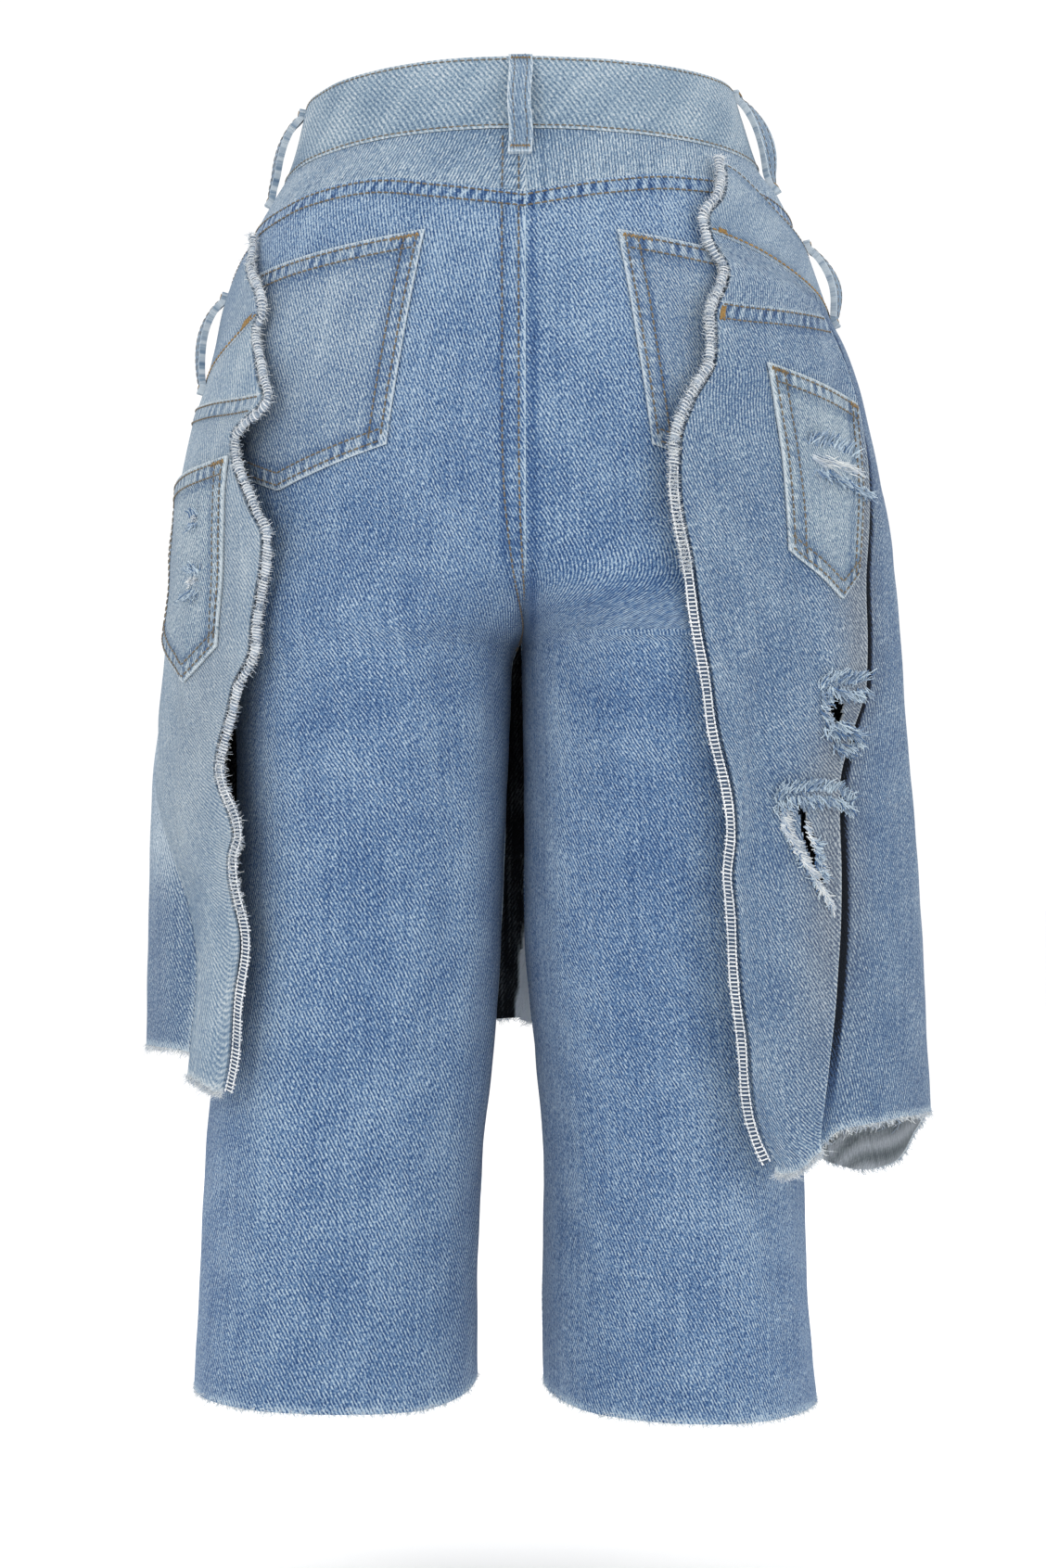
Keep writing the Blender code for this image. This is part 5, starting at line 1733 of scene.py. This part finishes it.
hems = [
    fray_along(piece["surface"], 1500 if face == BACK else 900, (0.8, 3.4))
    for (side, face), piece in legs.items()
]
strands("fray_base_hems", hems, 0.7, 0.2, pale_fray)
hems = [fray_along(piece["surface"], 900, (1.2, 4.2)) for piece in second_backs.values()]
hems += [fray_along(piece["surface"], 1700, (1.2, 4.0)) for piece in second_fronts.values()]
strands("fray_second_hems", hems, 0.7, 0.2, pale_fray)
for side, count, foot in ((LEFT, 3200, 0.8), (RIGHT, 2600, 0.42)):
    centre, up, aside, ahead = edge_line(side)
    at = (chance.uniform(0, foot, count) * (len(centre) - 1)).astype(int)
    spin = chance.uniform(0, 2 * np.pi, count)[:, None]
    out = aside[at] * np.cos(spin) + up[at] * np.sin(spin)
    ways = unit(ahead[at] * chance.normal(0, 1, (count, 1)) + out * 0.8)
    fuzz = centre[at] + out * 1.6 * MM, ways, unit(out), chance.uniform(0.8, 2.2, count)
    strands(f"fuzz_cut_edge_{side_word(side)}", [fuzz], 0.9, 0.2, pale_fray)


MM_A_DEGREE = 3.3


def scattered(side, line, count, spread, lengths, way, swing, lift):
    """A set of ends beside a rip: a line of angle and height, how far they stray from it,
    their lengths, the way they point (to the right and up) and how far that swings."""
    line = np.array(line, float)
    chords = np.hypot(np.diff(line[:, 0]) * 3, np.diff(line[:, 1]))
    reach = np.concatenate(((0,), np.cumsum(chords)))
    at = np.sort(chance.uniform(0, reach[-1], count))
    angle = np.interp(at, reach, line[:, 0]) + chance.normal(0, spread / MM_A_DEGREE, count)
    height = (np.interp(at, reach, line[:, 1]) + chance.normal(0, spread, count)) * MM
    roots = over_surface(side, angle, height, lift)
    outs = over_normal(side, angle, height)
    right = unit(np.cross((0.0, 0.0, 1.0), outs))
    up = unit(np.cross(outs, right))
    outs = outs * np.sign(lift)
    turn = math.atan2(way[1], way[0]) + chance.normal(0, swing, count)
    ways = right * np.cos(turn)[:, None] + up * np.sin(turn)[:, None]
    return roots, ways, outs, chance.uniform(*lengths, count)


# side, a line of angles and heights; how many, spread, lengths, way to the right and up,
# swing, lift
BLUE_TUFTS = (
    (RIGHT, ((40.5, -309), (38, -303.5), (33, -305.5), (27.5, -303)),
     170, 0.8, (3, 6), (0.1, 1), 0.4, 0.2),
    (RIGHT, ((40, -311), (37.5, -308), (32, -310), (27.5, -307)),
     150, 0.9, (3, 6.5), (0.1, -1), 0.4, 0.6),
    (RIGHT, ((39.8, -312), (40.4, -320), (39, -327)),
     60, 0.7, (2.5, 5), (0.8, -0.5), 0.5, 0.3),
    (RIGHT, ((40, -329), (36, -327), (33, -330), (31, -334)),
     190, 1.4, (3.5, 7), (0.35, -1), 0.5, 0.4),
    (RIGHT, ((38, -337), (35, -339), (33, -338)),
     90, 1.2, (3, 6), (0.2, -1), 0.6, 0.4),
    (RIGHT, ((51, -367), (49, -361.5), (43, -360.5), (38, -362), (34.5, -368)),
     260, 0.8, (3, 6), (-0.1, 1), 0.4, 0.2),
    (RIGHT, ((51, -369), (48, -365), (43, -364.5), (38, -366), (35, -370)),
     210, 0.9, (3, 6), (0.0, -1), 0.45, 0.6),
    (RIGHT, ((49.4, -371), (49.2, -382), (46.6, -397), (43.5, -411), (40.8, -420)),
     60, 0.7, (2.5, 5), (-0.8, -0.55), 0.4, 0.3),
    (RIGHT, ((44.5, -386), (43.6, -392), (43.8, -399), (42.6, -405)),
     90, 0.8, (2.5, 5), (0.7, -0.5), 0.6, 0.5),
    (RIGHT, ((39, -181), (34, -180.5), (29, -184), (24, -186)),
     150, 0.9, (3, 5.5), (0.0, 1), 0.45, 2.0),
    (RIGHT, ((38.5, -194), (32, -198), (26, -202), (21, -204)),
     190, 1.0, (3, 6), (0.05, -1), 0.45, 2.0),
    (LEFT, ((21, -216.5), (24.6, -216)),
     26, 0.7, (2, 4), (0.0, 1), 0.6, 2.0),
    (LEFT, ((21, -221), (24.6, -221)),
     26, 0.7, (2, 4), (0.0, -1), 0.6, 2.0),
    (LEFT, ((21, -247), (26.6, -246)),
     44, 0.8, (2.5, 4.5), (0.0, 1), 0.5, 2.0),
    (LEFT, ((20.6, -257), (26.8, -257)),
     70, 0.9, (3, 5), (0.0, -1), 0.5, 2.0),
)
WHITE_WEFT = (
    (RIGHT, ((50, -368), (50, -380), (47.8, -392), (45, -404)),
     300, 0.7, (5, 8), (0.85, -0.5), 0.2, 0.5),
    (RIGHT, ((45, -404), (42.4, -415), (40.6, -422)),
     150, 0.8, (3, 6), (0.5, -0.8), 0.4, 0.5),
    (RIGHT, ((45.8, -378), (44, -392), (42.3, -408)),
     120, 0.8, (3, 5.5), (0.9, -0.4), 0.3, 0.3),
    (RIGHT, ((39.4, -314), (39.6, -325)),
     40, 0.6, (3, 5), (0.8, -0.5), 0.35, 0.2),
    (RIGHT, ((39, -188), (31, -191.5), (25, -194.5)),
     70, 1.2, (6, 11), (1.0, -0.32), 0.12, 1.9),
    (LEFT, ((21.2, -252), (24.4, -251.5)),
     34, 1.0, (5, 8), (1.0, 0.05), 0.1, 1.9),
    (LEFT, ((21.5, -218.8), (23.6, -218.6)),
     12, 0.6, (3, 5), (1.0, 0.05), 0.2, 1.9),
    (RIGHT, ((-21, -546), (-31, -549), (-41, -556)),
     70, 2.5, (8, 15), (-0.5, 0.85), 0.22, -2.2),
)
strands("tufts_blue", [scattered(*row) for row in BLUE_TUFTS], 0.3, 0.44, blue_fray, lean=0.45)
strands("weft_white", [scattered(*row) for row in WHITE_WEFT], 0.14, 0.36, pale_fray, lean=0.12)


# ---------------------------------------------------------------- studio
# A plain pale floor of matt paper under an even white surround, which does most of the
# lighting, with soft boxes at the camera's left and right, in front and above.
FLOOR_DROP, FLOOR_REACH = 0.1, 12.0
low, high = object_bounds()
floor_level = float(low[2]) - FLOOR_DROP
corners = [(-1, -1), (1, -1), (1, 1), (-1, 1)]
floor_mesh = bpy.data.meshes.new("floor")
floor_mesh.from_pydata(
    [(x * FLOOR_REACH, y * FLOOR_REACH, floor_level) for x, y in corners], [], [(0, 1, 2, 3)],
)
pale_paper, tree = new_material("pale paper")
mottle = node(tree, "TexNoise", {"Vector": node(tree, "TexCoord", take=3), "Scale": 1.5})
paper = node(
    tree, "Mix", {0: mottle, 6: colour("#fcfcfc"), 7: colour("#fefefe")}, 2, data_type="RGBA",
)
floor_mesh.materials.append(finished(pale_paper, paper, 0.9))
floor = placed("floor", floor_mesh)


def soft_light(name, place, aim, size, power):
    """A square soft box at a place, turned to face a point, by its pitch and its bearing."""
    light = bpy.data.lights.new(name, "AREA")
    light.size = size
    light.energy = power
    made = placed(name, light)
    made.location = place
    toward = np.array(aim) - np.array(place)
    made.rotation_euler = (
        math.atan2(math.hypot(toward[0], toward[1]), -toward[2]),
        0.0,
        math.atan2(-toward[0], toward[1]),
    )


MIDDLE = (0.0, 0.0, -0.36)
soft_light("key", (-1.4, -2.6, 0.7), MIDDLE, 0.9, 16)
soft_light("fill", (1.9, -1.9, 0.0), MIDDLE, 1.6, 11)
soft_light("front", (1.0, 2.8, 0.9), MIDDLE, 1.2, 12)
soft_light("top", (0.0, 0.3, 2.4), MIDDLE, 2.2, 24)
world = bpy.data.worlds.new("surround")
bpy.context.scene.world = world
world.use_nodes = True
background = world.node_tree.nodes["Background"]
background.inputs["Color"].default_value = colour("#ffffff")
background.inputs["Strength"].default_value = 1.03
bpy.context.scene.view_settings.view_transform = "Standard"

# The photo's camera: level, behind the wearer, with half a millimetre a pixel at the
# garment's middle plane.
FRAME_TALL, MM_A_PIXEL, SENSOR = 1691, 0.5, 36.0
CAMERA = (0.002, -2.2, -0.35775)
view = bpy.data.cameras.new("view")
view.sensor_width = SENSOR
view.sensor_fit = "AUTO"
view.lens = SENSOR * -CAMERA[1] / (FRAME_TALL * MM_A_PIXEL * MM)
camera = placed("view", view)
camera.location = CAMERA
camera.rotation_euler = (math.pi / 2, 0, 0)
bpy.context.scene.camera = camera
